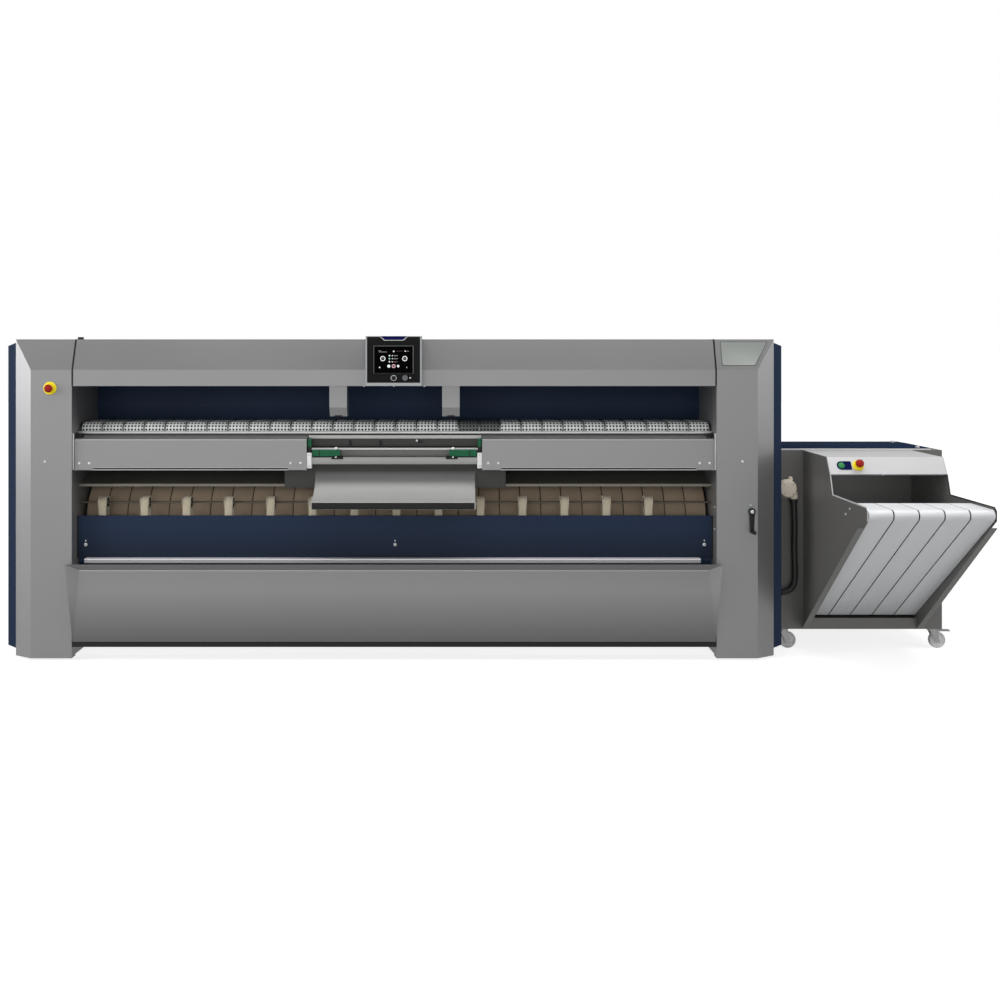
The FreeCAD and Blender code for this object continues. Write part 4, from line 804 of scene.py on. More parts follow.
class IRONER_OT_tapes(Operator):
    """Lays the tapes around their pulleys in front of the cylinder"""

    bl_idname = "ironer.tapes"
    bl_label = "Tapes"

    def execute(self, context):
        tread, bore, shaft_radius, shaft_half = 32.0, 5.6, 6, 1837
        circles = [roller("tape_pulleys_lower", tread), roller("tape_pulleys_upper", tread)]
        low, high = node_box("linen_tapes")
        offsets = row(TAPE_COUNT, 2 * BELT_PITCH)
        width = high[0] - low[0] - offsets[-1, 0]
        lay_belts("linen_tape_webbing", "linen_tapes", ["tape_cloth"], circles, low[0], width, [offsets])
        half = width / 2 + 0.6
        rim = [(31, half), (35, half), (38.4, half + 0.6), (39, half + 1.4), (38.4, half + 3), (31, half + 3)]
        hub = [(bore, 1 - half), (31.5, 1 - half), (tread, 2 - half)]
        hub += [(tread, half - 2), (31.5, half - 1), (bore, half - 1)]
        boss = [(bore, -half - 2), (12, -half - 2), (12, half + 2), (bore, half + 2)]
        shaft = [(0, -shaft_half), (shaft_radius, -shaft_half), (shaft_radius, shaft_half), (0, shaft_half)]
        finishes = ["pulley_rim", "black_plastic", "dull_steel", "shaft_steel"]
        for level, (y, z, _) in zip(("lower", "upper"), circles):
            form = Form()
            middle = (low[0] + width / 2, y, z)
            for side in SIDES:
                form.turn(rim, middle, (side, 0, 0), 32, at=offsets)
            form.turn(hub, middle, (1, 0, 0), 32, paint=1, at=offsets)
            form.turn(boss, middle, (1, 0, 0), 20, paint=2, at=offsets)
            form.turn(shaft, (0, y, z), (1, 0, 0), 20, paint=3)
            node, name = f"tape_pulleys_{level}", f"{level}_pulleys"
            form.build(name, finishes, body=name, slot="dull_steel", replaces=[node])
        return {"FINISHED"}


class IRONER_OT_stacker_belts(Operator):
    """Lays the stacker's slanted belts around their rollers and the rail behind the upper one"""

    bl_idname = "ironer.stacker_belts"
    bl_label = "Stacker belts"

    def execute(self, context):
        count, rail_distance = 5, 220
        node_gap, gap = 4, 6.8
        low, high = node_box("stacker_belts")
        tail, head = roller("stacker_tail_roller", 42.0), roller("stacker_head_roller", 28.0)
        circles = [tail, head, (head[0] + rail_distance, head[1], head[2])]
        pitch = (high[0] - low[0] + node_gap) / count
        first, width, rows = low[0] + (gap - node_gap) / 2, pitch - gap, [row(count, pitch)]
        lay_belts("stacker_belting", "stacker_belts", ["stacker_cloth"], circles, first, width, rows)
        return {"FINISHED"}


class IRONER_OT_control_panel(Operator):
    """Adds the display, its rim, the key switch and the insert of the control panel"""

    bl_idname = "ironer.control_panel"
    bl_label = "Control panel"

    def execute(self, context):
        face, skin = -60.0, 0.4
        Form().block((-108, 107), (face - 0.5, face), (1643, 1792), 1.0, "y", 0.2).build(
            "display_glass", ["screen_glass"], slot="black_face"
        )
        outer, inner = rectangle((-114, 113), (1637.5, 1797.5)), rectangle((-110, 109), (1641.5, 1793.5))
        path = np.stack([outer, outer, inner, inner])
        rise = np.array([0.0, 0.9, 0.9, 0.0])[:, None, None]
        depth = np.broadcast_to(face - rise, path[..., :1].shape)
        rim = np.concatenate([path[..., :1], depth, path[..., 1:]], -1)
        Form().add(rim, (True, True)).build("display_rim", ["screen_rim"], slot="black_face")

        lights = ["white_light", "green_light", "red_light", "dim_light", "pink_light"]
        white, green, red, dim, pink = range(5)
        front = face - 0.7
        mark = Form()

        def dash(x, z, width, height, light=white):
            mark.block((x, x + width), (front, front + skin), (z, z + height), 0.5, "y", 0.1, light)

        def disc(x, z, radius, light=white, sides=20, hole=0):
            profile = [(hole, 0), (radius, 0), (radius, skin), (hole, skin)]
            mark.turn(profile, (x, front + skin, z), TO_FRONT, sides, light)

        for x in (-60.6, 63.4):
            disc(x, 1723.8, 15.2, sides=8, hole=10.6)
            dash(x - 2, 1720, 1.6, 8, dim)
            dash(x + 0.8, 1722.4, 4, 2.8, dim)
        for z, glyph, words in ((1740.5, white, dim), (1723.5, green, dim), (1706, white, red)):
            disc(-23.4, z, 4.6, glyph, 6)
            disc(-7, z, 3.0, sides=8)
            dash(0, z - 1.4, 24, 2.8, words)
            dash(0, z - 5, 14, 1.2, red)
        menu = 1681.3
        disc(-26.8, menu, 8.6)
        disc(0.6, menu, 11.2, pink, 8, hole=6.6)
        disc(0.6, menu, 3.4, red)
        disc(26.2, menu, 7.6, sides=6)
        dash(-86, 1766, 16, 2.6, dim)
        dash(-82, 1760, 44, 2.4, dim)
        disc(1.2, 1764.4, 4.2)
        disc(66, 1765.6, 3.6)
        dash(73, 1764.4, 14, 2, dim)
        dash(12, 1764.8, 40, 1, red)
        disc(-78.6, 1674, 3.8)
        dash(72, 1670, 5, 8, dim)
        mark.build("display_marks", lights, slot="black_face")

        key = (1.0, face, 1614.0)
        knob = [(0, 0), (15, 0), (15, 3), (13.5, 4), (12, 3.6), (12, 1.2), (9, 1.2), (8.4, 5), (0, 5.5)]
        Form().turn(knob, key, TO_FRONT).build("key_switch", ["black_plastic"], slot="black_face")
        bezel = [(13.2, 3.2), (15.6, 0.0), (16.2, 0.0), (16.2, 3.6), (14.4, 4.6), (13.2, 4.2)]
        Form().turn(bezel, key, TO_FRONT).build("key_switch_ring", ["bright_steel"])
        low, high = node_box("power_button")
        cap = [(0, 46), (16, 46), (16, 64), (15, 65.6), (12, 66), (11.2, 65.3), (0, 64.9)]
        Form().turn(cap, ((low[0] + high[0]) / 2, 0, (low[2] + high[2]) / 2), TO_FRONT).build(
            "power_button_cap", ["grey_plastic"], body="power", slot="dull_steel", replaces=["power_button"]
        )
        lamp = [(0, 0), (3.6, 0), (3.6, 1), (0, 1.6)]
        Form().turn(lamp, (93.6, face, 1615), TO_FRONT, 16).build(
            "power_light", ["white_light"], slot="black_face"
        )

        insert = rounded([(-76, 1850.4), (78, 1850.4), (54, 1829), (-50, 1829)], 4, 4)
        Form().solid(bar(insert, (face - 1.4, face + 4), "y", 0.5)).build(
            "panel_insert", ["navy_plastic"], slot="blue_paint"
        )
        rim = rounded([(-81, 1850.8), (83, 1850.8), (57, 1825.6), (-53, 1825.6)], 5, 4)
        Form().solid(bar(rim, (face - 0.7, face + 3), "y", 0.3)).build("panel_insert_rim", ["bright_steel"])
        stud = [(0, -3), (5, -3), (5, 2.4), (3.6, 4.4), (0, 5)]
        spots = [(-173, 7, 1567), (-1, -30, 1569), (172, 7, 1567)]
        Form().turn(stud, (0, 0, 0), (0, 0, -1), 16, at=spots).build(
            "panel_studs", ["white_plastic"], slot="bright_steel"
        )
        return {"FINISHED"}


# The console's slanted face: a point of it, and the ways out of it and up along it.
CONSOLE_LEAN = math.atan2(226 - 172, 1180 - 1090)
CONSOLE_OUT = np.array([0, -math.cos(CONSOLE_LEAN), math.sin(CONSOLE_LEAN)])
CONSOLE_UP = np.array([0, math.sin(CONSOLE_LEAN), math.cos(CONSOLE_LEAN)])
CONSOLE_FACE = np.array([0, -199.0, 1135.0])


class IRONER_OT_buttons(Operator):
    """Makes the two emergency stops and the start button on its plate"""

    bl_idname = "ironer.buttons"
    bl_label = "Stops and start button"

    def execute(self, context):
        low, high = node_box("column_stop_button")
        console_left = node_box("stacker_cabinet")[0][0] + 37
        neck = [(0, -14.5), (12, -14.5), (12, 23), (17, 24.5), (22, 25.5), (23, 28), (22.6, 33), (20.5, 37.5)]
        head = neck + [(15, 40.6), (8, 41.8), (0, 42)]
        rings = Form()
        for name, centre, out, reach in (
            ("column_stop", ((low[0] + high[0]) / 2, 0, (low[2] + high[2]) / 2), TO_FRONT, 37),
            ("stacker_stop", CONSOLE_FACE + (console_left + 306, 0, 0), CONSOLE_OUT, 31),
        ):
            ring = [(12.4, 0), (reach, 0), (reach, 5), (reach - 1.5, 7.5), (reach - 5, 9)]
            ring += [(24, 9.5), (23, 12), (12.4, 12)]
            Form().turn(head, centre, out, 48).build(
                name + "_head", ["red_plastic"], body=name, replaces=[name + "_button"], angle=50
            )
            rings.turn(ring, centre, out, 48)
        rings.build("stop_bases", ["yellow_plastic"], replaces=["stop_rings"], angle=50)

        start = CONSOLE_FACE + (console_left + 214, 0, 0)
        cap = [(0, -9.5), (15, -9.5), (15, 4.2), (13.6, 6.2), (9, 6.8), (0, 7)]
        Form().turn(cap, start, CONSOLE_OUT, 40).build(
            "start_button_cap", ["start_green"], body="start", replaces=["start_button"], angle=50
        )
        bezel = [(15.4, 1.2), (17.4, 1.2), (17.4, 3.6), (16.4, 4.6), (15.4, 4.6)]
        Form().turn(bezel, start, CONSOLE_OUT, 40).build("start_bezel", ["start_green"])
        turn = np.linspace(math.pi / 2, 3 * math.pi / 2, 20)
        curve = np.stack([np.cos(turn), np.sin(turn)], -1)
        for name, material, reach, end, rise in (
            ("start_plate_rim", "trim_steel", 28.6, 57.6, 0.9),
            ("start_plate", "navy_plastic", 26.0, 55.0, 1.5),
        ):
            tail = [(end - 3, -reach), (end, 3 - reach), (end, reach - 3), (end - 3, reach)]
            plate = np.concatenate([curve * reach, tail])
            flat = start + plate[:, :1] * np.array([1.0, 0, 0]) + plate[:, 1:] * CONSOLE_UP
            form = Form().solid(np.stack([flat, flat + CONSOLE_OUT * rise]))
            form.build(name, [material], slot="stacker_light")
        return {"FINISHED"}


class IRONER_OT_crank(Operator):
    """Makes the hand crank on the right column"""

    bl_idname = "ironer.crank"
    bl_label = "Hand crank"

    def execute(self, context):
        hub_radius, arm_length, arm_depth = 18.0, 112.0, (-18.3, -9.3)
        low, high = node_box("crank_lever")
        x, z = (low[0] + high[0]) / 2, high[2] - hub_radius
        foot = z - arm_length
        arm = rounded([(x - 14, z), (x + 14, z), (x + 10, foot), (x - 10, foot)], 3, 3)
        hub = [(0, 8.4), (18, 8.4), (18, 17), (16, 18.3), (0, 18.3)]
        shaft = [(0, -32), (8, -32), (8, 9), (0, 9)]
        boss = [(0, 8.6), (11, 8.6), (12, 10), (12, 17), (10, 18.3), (0, 18.3)]
        grip = [(0, 18), (7.5, 18), (8, 24), (10.4, 36), (11, 52), (9.6, 66), (6, 72), (0, 74)]
        cap = [(0, 18), (11, 18), (11, 20.5), (9, 22.4), (0, 23)]
        form = Form().solid(bar(arm, arm_depth, "y", 1.5))
        form.turn(hub, (x, 0, z), TO_FRONT)
        form.turn(shaft, (x, 0, z), TO_FRONT, 24, paint=1)
        form.turn(boss, (x, 0, foot), TO_FRONT)
        form.turn(grip, (x, 0, foot), TO_FRONT)
        form.turn(cap, (x, 0, z), TO_FRONT, paint=1)
        finishes = ["black_plastic", "zinc"]
        form.build("hand_crank", finishes, body="crank", slot="dull_steel", replaces=["crank_lever"])
        screw = [(0, 0), (6, 0), (6, 2), (4, 3), (0, 3.2)]
        Form().turn(screw, (x - 4, 0, z + 36), TO_FRONT, 18).build("crank_screw", ["zinc"], slot="dull_steel")
        return {"FINISHED"}


class IRONER_OT_clamp_window(Operator):
    """Makes the clamp rails with their end blocks, the two sheet clamps and the fittings behind them, with a
    painted shadow strip above the upper rail and a painted highlight on the feeder frame's top
    """

    bl_idname = "ironer.clamp_window"
    bl_label = "Clamp rails and clamps"

    def execute(self, context):
        finishes = ["clamp_steel", "white_plastic", "green_plastic", "black_plastic", "zinc"]
        finishes += ["band_steel", "bright_steel"]
        rail, white, green, black, zinc, band, bright = range(7)
        reach = node_box("clamp_rails")[1][0]
        block_width, depth = 27, (30, 60)
        inner = reach - block_width
        low_rail, slot, high_rail, light_end, green_end, top = 1118, 1157, 1198, 1184, 1217, 1261
        near, far = depth
        lips = [(near, low_rail), (far, low_rail), (far, slot), (52, slot)]
        lips += [(50, 1152), (36, 1152), (34, slot), (near, slot)]
        form = Form().solid(bar(rounded(lips, 1, 3), (-inner, inner), "x", 0.5), rail)
        form.block((-inner - 3, inner + 3), (50, 62), (high_rail, high_rail + 12.5), 2, "x", 0.5, bright)
        form.block((-inner, inner), (66, 72), (1158, 1199), 1, "x", 0.4, band)
        for side in SIDES:
            edge = span(side, inner + 3, reach - 3)
            form.block(span(side, inner, reach), (22, 64), (1095.4, light_end), 2.5, "z", 1, white)
            form.block(edge, (30, 64), (green_end, top), 3, "z", 1, green)
            form.block(edge, (28, 64), (light_end, green_end), 5, "z", 1, black)
            form.block(edge, (20.6, 22.4), (1114, 1165), 0.8, "y", 0.3, white)
        bolt = [(0, 0), (4.5, 0), (4.5, 2), (3, 2.8), (0, 3)]
        spots = [(side * (reach - block_width / 2), 0, z) for side in SIDES for z in (1108, 1171)]
        form.turn(bolt, (0, 22, 0), TO_FRONT, 16, zinc, at=spots)
        form.build("clamp_rail_set", finishes, slot="bright_steel", replaces=["clamp_rails"])

        finishes = ["green_plastic", "black_plastic", "white_plastic"]
        green, black, white = range(3)
        pin_across, jaw_low, jaw_high = 335, 1163.4, 1199.4
        pin = [(0, 1164), (3, 1164), (3, 1199), (6, 1200.6), (9, 1204)]
        pin += [(9.4, 1209), (7, 1214), (3, 1216), (0, 1216.4)]
        foot = [(0, 0), (4.4, 0), (4.4, 2.4), (2.6, 3.6), (0, 3.8)]
        jaw = [(313, 1170), (325, jaw_low), (471, jaw_low), (471, jaw_high), (325, jaw_high), (313, 1192)]
        for side, name in zip(SIDES, ("left", "right")):
            part = Form().solid(bar(rounded(np.array(jaw) * (side, 1), 2, 3), (30.4, 64), "y", 1.2), green)
            part.block(span(side, 428, 433), (29.6, 32), (1164, 1199), 0.6, "z", 0.3, black)
            part.block(span(side, 343, 441), (36, 58), (1157.4, 1163.6), 1, "x", 0.5, black)
            stop = span(side, 294, 361)
            part.block(stop, (26.8, 29.6), (1147, jaw_low), 1, "y", 0.5, black)
            part.block(stop, (26.8, 44), (1158, jaw_low), 1, "x", 0.5, black)
            part.turn(pin, (side * pin_across, 40, 0), UP, 18, white)
            part.turn(foot, (side * pin_across, 27, 1159), TO_FRONT, 16, white)
            part.build(f"sheet_clamp_{name}", finishes, body=f"{name}_clamp", replaces=[f"clamp_{name}"])

        beam = 83.8
        depth = (80, beam)
        screw = [(0, 0), (6, 0), (6, 2), (0, 4)]
        brackets_and_painted_lines = Form()
        for x in (-258, -83):
            brackets_and_painted_lines.block((x - 8, x + 8), depth, (1222, 1250), 1.5, "y", 0.8)
        brackets_and_painted_lines.block((132, 158), depth, (1238, 1249), 1.5, "y", 0.8)
        brackets_and_painted_lines.turn(screw, (126, beam, 1249), TO_FRONT, 16, paint=1)
        # A black strip behind the upper clamp rail: a painted shadow.
        brackets_and_painted_lines.block((-498, 498), (82, beam), (1206, 1220), 0.6, "x", 0.4)
        # A light strip along the feeder frame's top bevel: a painted highlight.
        brackets_and_painted_lines.block((-499, 499), (82, beam + 0.4), (1261, 1280), 0.6, "x", 0.4, paint=2)
        finishes = ["black_plastic", "white_plastic", "edge_steel"]
        brackets_and_painted_lines.build("feeder_brackets", finishes, slot="frame_paint")
        return {"FINISHED"}


class IRONER_OT_chute(Operator):
    """Makes the curved chute below the clamps with the plate behind it"""

    bl_idname = "ironer.chute"
    bl_label = "Chute"

    def execute(self, context):
        back, reach, top, drop, skin, half, lip_end = 97, 197, 1072, 151, 2.6, 462, 877.5
        turn = np.linspace(0, math.pi / 2, 28)
        curve = np.stack([back - reach * (1 - np.cos(turn)), top - drop * np.sin(turn)], -1)
        bend = np.linspace(0, math.pi / 2, 6)
        fold = np.stack([-96 - 5 * np.sin(bend), 917 + 4 * np.cos(bend)], -1)
        upper = np.concatenate([curve[:-1], fold, [(-101, lip_end)]])
        square = unit(np.gradient(upper, axis=0))[:, ::-1] * (1, -1)
        under = upper - square * skin
        form = Form().solid(bar(np.concatenate([upper, under[::-1]]), (-half, half), "x", 0.3))
        # The plate behind the chute, darkened as a painted shade.
        form.block((-640, 640), (back, back + 3), (975, 1094.7), 0.8, "x", 0.4, paint=1)
        # A black strip on the front of the chute's lip: a painted shade under its fold.
        form.block((-456, 456), (-101.6, -100.6), (lip_end + 1, 916), 0.3, "x", 0.2, paint=2)
        finishes = ["chute_steel", "shield_steel", "black_plastic"]
        form.build("chute_sheet", finishes, slot="bright_steel", replaces=["chute_tray"])
        return {"FINISHED"}


class IRONER_OT_fasteners(Operator):
    """Makes the cover screws, guard latches and bolts"""

    bl_idname = "ironer.fasteners"
    bl_label = "Fasteners"

    def execute(self, context):
        low, high = node_box("feeder_covers")
        far, height = high[0] - 26.0, low[2] + 33
        spots = [(side * x, low[1], height) for side in SIDES for x in (537, 594, far - 57, far)]
        spots += [(-1991, 0, 1136), (1986, 0, 1136)]
        screw = [(0, 0), (7, 0), (7, 1.2), (5.6, 2.6), (3.2, 3), (3, 2), (0, 2)]
        form = Form().turn(screw, (0, 0, 0), TO_FRONT, 20, at=spots)
        reach = node_box("lower_guard")[1][0] - 50
        stud = [(0, 0), (4, 0), (4, 1.6), (0, 2.4)]
        latch = [(0, 0), (10, 0), (10, 2), (8.4, 4.6), (7, 5.6), (6.4, 4), (0, 4)]
        places = [(x, 85, 648) for x in (-reach, 0, reach)]
        form.turn(stud, (0, 0, 23), TO_FRONT, 14, at=places)
        form.turn(latch, (0, 0, 0), TO_FRONT, 28, at=places)
        form.solid(block((-4.6, 4.6), (-5.2, -3.6), (-1.1, 1.1), 0.4, "y", 0.2), paint=1, at=places)
        wall = node_box("hopper_walls")[0][0] + 30
        form.turn(BOLT_HEAD, (0, 0, 0), TO_LEFT, 16, at=[(wall, -515, 944), (wall, -457, 907)])
        form.turn([(0, 0), (5, 0), (5, 2), (3, 3), (0, 3)], (wall + 292, -222, 1088), TO_FRONT, 14)
        form.build("screw_set", ["screw_zinc", "black_plastic"], slot="dull_steel", replaces=["cover_screws"])
        return {"FINISHED"}


class IRONER_OT_feet(Operator):
    """Makes the levelling feet with their lock nuts"""

    bl_idname = "ironer.feet"
    bl_label = "Levelling feet"

    def execute(self, context):
        across, front, back = 2038, 110, 1190
        foot = [(0, 0), (33, 0), (35, 1.6), (35, 6), (30, 9.4), (14, 12), (10, 13), (10, 25), (0, 25)]
        spots = [(x, y, 0) for x in (-across, across) for y in (front, back)]
        form = Form().turn(foot, (0, 0, 0), UP, 32, at=spots)
        form.solid(bar(round_line((0, 0), 17, 6), (15, 23), "z", 1), at=spots)
        form.build("levelling_feet_set", ["zinc"], slot="dull_steel", replaces=["levelling_feet"])
        return {"FINISHED"}


class IRONER_OT_casters(Operator):
    """Makes the stacker's caster wheels with tyre and rim"""

    bl_idname = "ironer.casters"
    bl_label = "Caster wheels"

    def execute(self, context):
        tyre = [(40, -12), (44, -14), (47, -11), (48, -5), (48, 5), (47, 11), (44, 14), (40, 12)]
        disc = [(6.4, -15), (13, -15), (15, -12), (20, -8), (34, -7), (37, -12), (40, -12.4)]
        disc += [(40, 12.4), (37, 12), (34, 7), (20, 8), (15, 12), (13, 15), (6.4, 15)]
        for corner in ("front_left", "front_right", "rear_left", "rear_right"):
            centre = sum(node_box(f"caster_wheel_{corner}")) / 2
            form = Form().turn(tyre, centre, TO_FRONT, 56)
            form.turn(disc, centre, TO_FRONT, 40, paint=1)
            name = f"wheel_{corner}"
            form.build(name, ["tread", "white_plastic"], body=name, replaces=["caster_" + name])
        return {"FINISHED"}


class IRONER_OT_cable(Operator):
    """Makes the cable between the stacker and the ironer, its glands and the junction box"""

    bl_idname = "ironer.cable"
    bl_label = "Cable and junction box"

    def execute(self, context):
        across, depth, entry, radius = 2341, 200, 344.3, 17
        route = [
            (across, depth, 892.4),
            (2347, 199, 755),
            (2344, 202, 600),
            (2348, depth, 500),
            (2348, depth, 403),
            (2326.6, depth, 365.8),
            (2289.5, depth, entry),
            (2248, depth, entry),
        ]
        points = np.array(route) * 0.001 + ORIGIN
        curve = bpy.data.curves.new("stacker_cable", "CURVE")
        curve.dimensions = "3D"
        curve.bevel_depth = radius * 0.001
        curve.bevel_resolution = 6
        curve.resolution_u = 16
        curve.use_fill_caps = True
        spline = curve.splines.new("NURBS")
        spline.points.add(len(points) - 1)
        spline.points.foreach_set("co", np.column_stack([points, np.ones(len(points))]).ravel())
        spline.order_u = 3
        spline.use_endpoint_u = True
        curve.materials.append(finish("cable_sheath"))
        cable = bpy.data.objects.new("stacker_cable", curve)
        context.scene.collection.objects.link(cable)
        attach(cable, "machine")
        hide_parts("control_cable")

        middle, height, lug_ring = 2302, 958, 38
        shell = [(0, 0), (49, 0), (51, 3), (51, 34), (53, 35), (53, 40)]
        shell += [(51, 41), (51, 52), (47, 58), (38, 60), (0, 60)]
        box = Form().turn(shell, (middle, 230, height), TO_FRONT, 56)
        lug = [(0, 0), (5, 0), (5, 3), (0, 4)]
        angles = np.radians([45, 135, 225, 315])
        spots = [(middle + lug_ring * math.cos(a), 172.5, height + lug_ring * math.sin(a)) for a in angles]
        box.turn(lug, (0, 0, 0), TO_FRONT, 16, paint=1, at=spots)
        tab = rounded([(2312, 1004), (2338, 1004), (2332, 1026), (2316, 1026)], 4, 4)
        box.solid(bar(tab, (200, 226), "y", 1.5))
        neck = [(17.4, 893), (20, 893), (21, 896), (21, 903), (24.5, 904)]
        neck += [(24.5, 917), (21, 918), (21, 936), (17.4, 936)]
        box.turn(neck, (across, depth, 0), UP, 12)
        box.build("junction_housing", ["beige_plastic", "zinc"], replaces=["junction_box"], angle=40)
        sleeve = [(17.1, 868), (19.4, 868), (20.6, 888), (20.8, 897), (17.1, 897)]
        Form().turn(sleeve, (across, depth, 0), UP, 28).build("cable_sleeve", ["cable_sheath"])
        gland = Form().solid(bar(round_line((depth, entry), 25, 6), (2225.2, 2236), "x", 1.2))
        nut = [(17.4, 10), (21, 10), (21, 22), (19.6, 45), (17.4, 45)]
        gland.turn(nut, (2225, depth, entry), (1, 0, 0), 28)
        gland.build("cable_gland", ["black_plastic"], slot="cable_sheath")
        return {"FINISHED"}


class IRONER_OT_plates(Operator):
    """Makes the bare plate on the right column and the small fittings of the covers"""

    bl_idname = "ironer.plates"
    bl_label = "Plates and small fittings"

    def execute(self, context):
        crease, depth, top, foot = 1660, 60, 1834, 1568
        lean = math.atan2(depth, top - crease)
        out = np.array([0, -math.cos(lean), math.sin(lean)])

        def sheet(corners):
            """Rounded corners of (across, height) on the slanted face of a column."""
            line = rounded(corners, 9, 6)
            return np.stack([line[:, 0], (line[:, 1] - crease) * depth / (top - crease), line[:, 1]], -1)

        flat = sheet([(1873, 1686), (2061, 1686), (2137, 1817), (1874, 1817)])
        middle = flat.mean(0)
        rings = [flat, flat + out * 1.2]
        rings += [middle + (flat - middle) * size + out * rise for size, rise in ((0.985, 1.8), (0.965, 1.4))]
        Form().solid(np.stack(rings)).build("column_plate", ["plate_steel"], slot="bright_steel")
        # The darker sheet under the plate shows round it as a painted shadow line.
        flat = sheet([(1869, 1681.5), (2063.6, 1681.5), (2144.4, 1821), (1870, 1821)])
        rim = Form().solid(np.stack([flat, flat + out * 0.6]))
        rim.build("column_plate_rim", ["plate_rim"], slot="bright_steel")

        roof = Form().block((-1827, -1800), (64, 92), (top, 1847), 3, "x", 1.5)
        roof.block((-1822, -1806), (60, 70), (top, 1840), 1.5, "x", 1)
        roof.build("roof_catch", ["black_plastic"], slot="frame_paint")
        low, high = node_box("lower_guard")
        joint = [(638, top), (depth, top), (0, crease), (0, foot)]
        seal_and_shadow = Form()
        for side in SIDES:
            seal_and_shadow.solid(edging(joint, span(side, 1830, 1839.4), 0.8, 4))
            # A black strip in the gap beside the guard: a painted shadow.
            seal_and_shadow.block(span(side, 1829.5, 1837.5), (84, 90), (low[2], high[2]), 1, "z", 0.5)
        seal_and_shadow.build("beam_seals", ["black_plastic"], slot="frame_paint")
        Form().turn(BOLT_HEAD, (1838.3, 49, 0), TO_LEFT, 16, at=[(0, 0, 743), (0, 0, 871)]).build(
            "column_bolts", ["screw_zinc"], slot="dull_steel"
        )
        chin = Form()
        for side in SIDES:
            x = side * 323
            ways = ((34, 64, 1392), (30, 62, 1384), (0, 60, 1380), (-30, 62, 1384), (-34, 64, 1392))
            chin.solid(pipe([(x + side * across, y, z) for across, y, z in ways], 1.6, TO_BACK, 8))
            chin.block((x - 22, x + 22), (50, 84), (1388, 1396), 3, "x", 1)
        chin.build("sensor_feelers", ["black_plastic"], slot="frame_paint")
        return {"FINISHED"}


class IRONER_OT_rails(Operator):
    """Makes the feed rail with a painted shadow strip, the return rail, the bumper, the sills of the feeder
    covers with painted highlights and a painted shadow, a painted highlight on the tray's fold and a strip at
    the guard's foot
    """

    bl_idname = "ironer.rails"
    bl_label = "Rails and sills"

    def execute(self, context):
        low, high = node_box("front_rails")
        left, right = low[0], high[0]
        finishes = ["bright_steel", "rail_steel", "bumper_steel", "shield_steel", "band_steel"]
        feed, back, bumper, shade_line, grey_line = range(5)
        form = Form().block((left, right), (104, 118), (1280, 1302), 3, "x", 0.5, feed)
        # A dark strip on the feed rail's lower front: a painted shadow.
        form.block((left + 2, right - 2), (103.4, 105), (1281, 1289), 0.6, "x", 0.4, shade_line)
        form.block((left, right), (121, 129), (979, 995), 2, "x", 0.5, back)
        form.block((-1782, 1758), (40, 84.7), (549, 575), 4, "x", 2, bumper)
        form.block((-1781, 1757), (39.4, 41), (562, 565.5), 0.6, "x", 0.4, grey_line)
        form.build("front_rail_set", finishes, replaces=["front_rails"])

        finishes = ["grey_paint", "trim_steel", "black_plastic", "edge_steel"]
        grey, trim, black, light = range(4)
        foot, tab_top, cover_end = 1084, 1096, right - 10
        sill_and_painted_line = Form()
        for side in SIDES:
            sill_and_painted_line.block(span(side, 502, right), (24, 80), (foot, foot + 3), 0.8, "x", 0.4, grey)
            for near, far in ((504, 607), (1727, 1816)):
                tab = span(side, near, far)
                sill_and_painted_line.block(tab, (18.6, 20), (foot, tab_top), 0.6, "y", 0.4, grey)
                sill_and_painted_line.block(tab, (18.6, 30), (foot, foot + 3), 0.6, "x", 0.4, grey)
            lips, middle = span(side, 503, cover_end), span(side, 610, 1724)
            sill_and_painted_line.block(span(side, right - 8, right), (13.4, 15.4), (foot + 3, 1297), 0.6, "x", 0.4, trim)
            # A light strip on the covers' top fold: a painted highlight.
            sill_and_painted_line.block(lips, (18.9, 20.6), (1257.6, 1260.6), 0.5, "x", 0.4, trim)
            # Below the covers: a light strip on the flange's edge, a black strip in the gap and a light strip
            # on the covers' bottom edge, which are painted highlights and a painted shadow.
            sill_and_painted_line.block(lips, (19, 24.5), (1084.4, 1090), 0.8, "x", 0.5, light)
            sill_and_painted_line.block(middle, (19.2, 20.6), (1090.6, 1097.8), 0.5, "x", 0.4, black)
            sill_and_painted_line.block(middle, (19.2, 20.6), (1098, 1101), 0.5, "x", 0.4, light)
            sill_and_painted_line.block(span(side, right - 42, cover_end), (50, 82), (1270, 1290), 3, "x", 1.5, black)
        sill_and_painted_line.build("feeder_sills", finishes, slot="grey_paint")

        # A light strip along the tray's fold: a painted highlight; the blue strip lengthens the guard's foot.
        hem = Form().block((-1794, 1794), (-6, -4.6), (513, 518.6), 0.6, "x", 0.4)
        hem.block((-1828, 1828), (86, 88), (532, 572), 0.8, "x", 0.5, paint=1)
        hem.build("tray_and_guard_hems", ["edge_steel", "blue_paint"], slot="grey_paint")
        return {"FINISHED"}


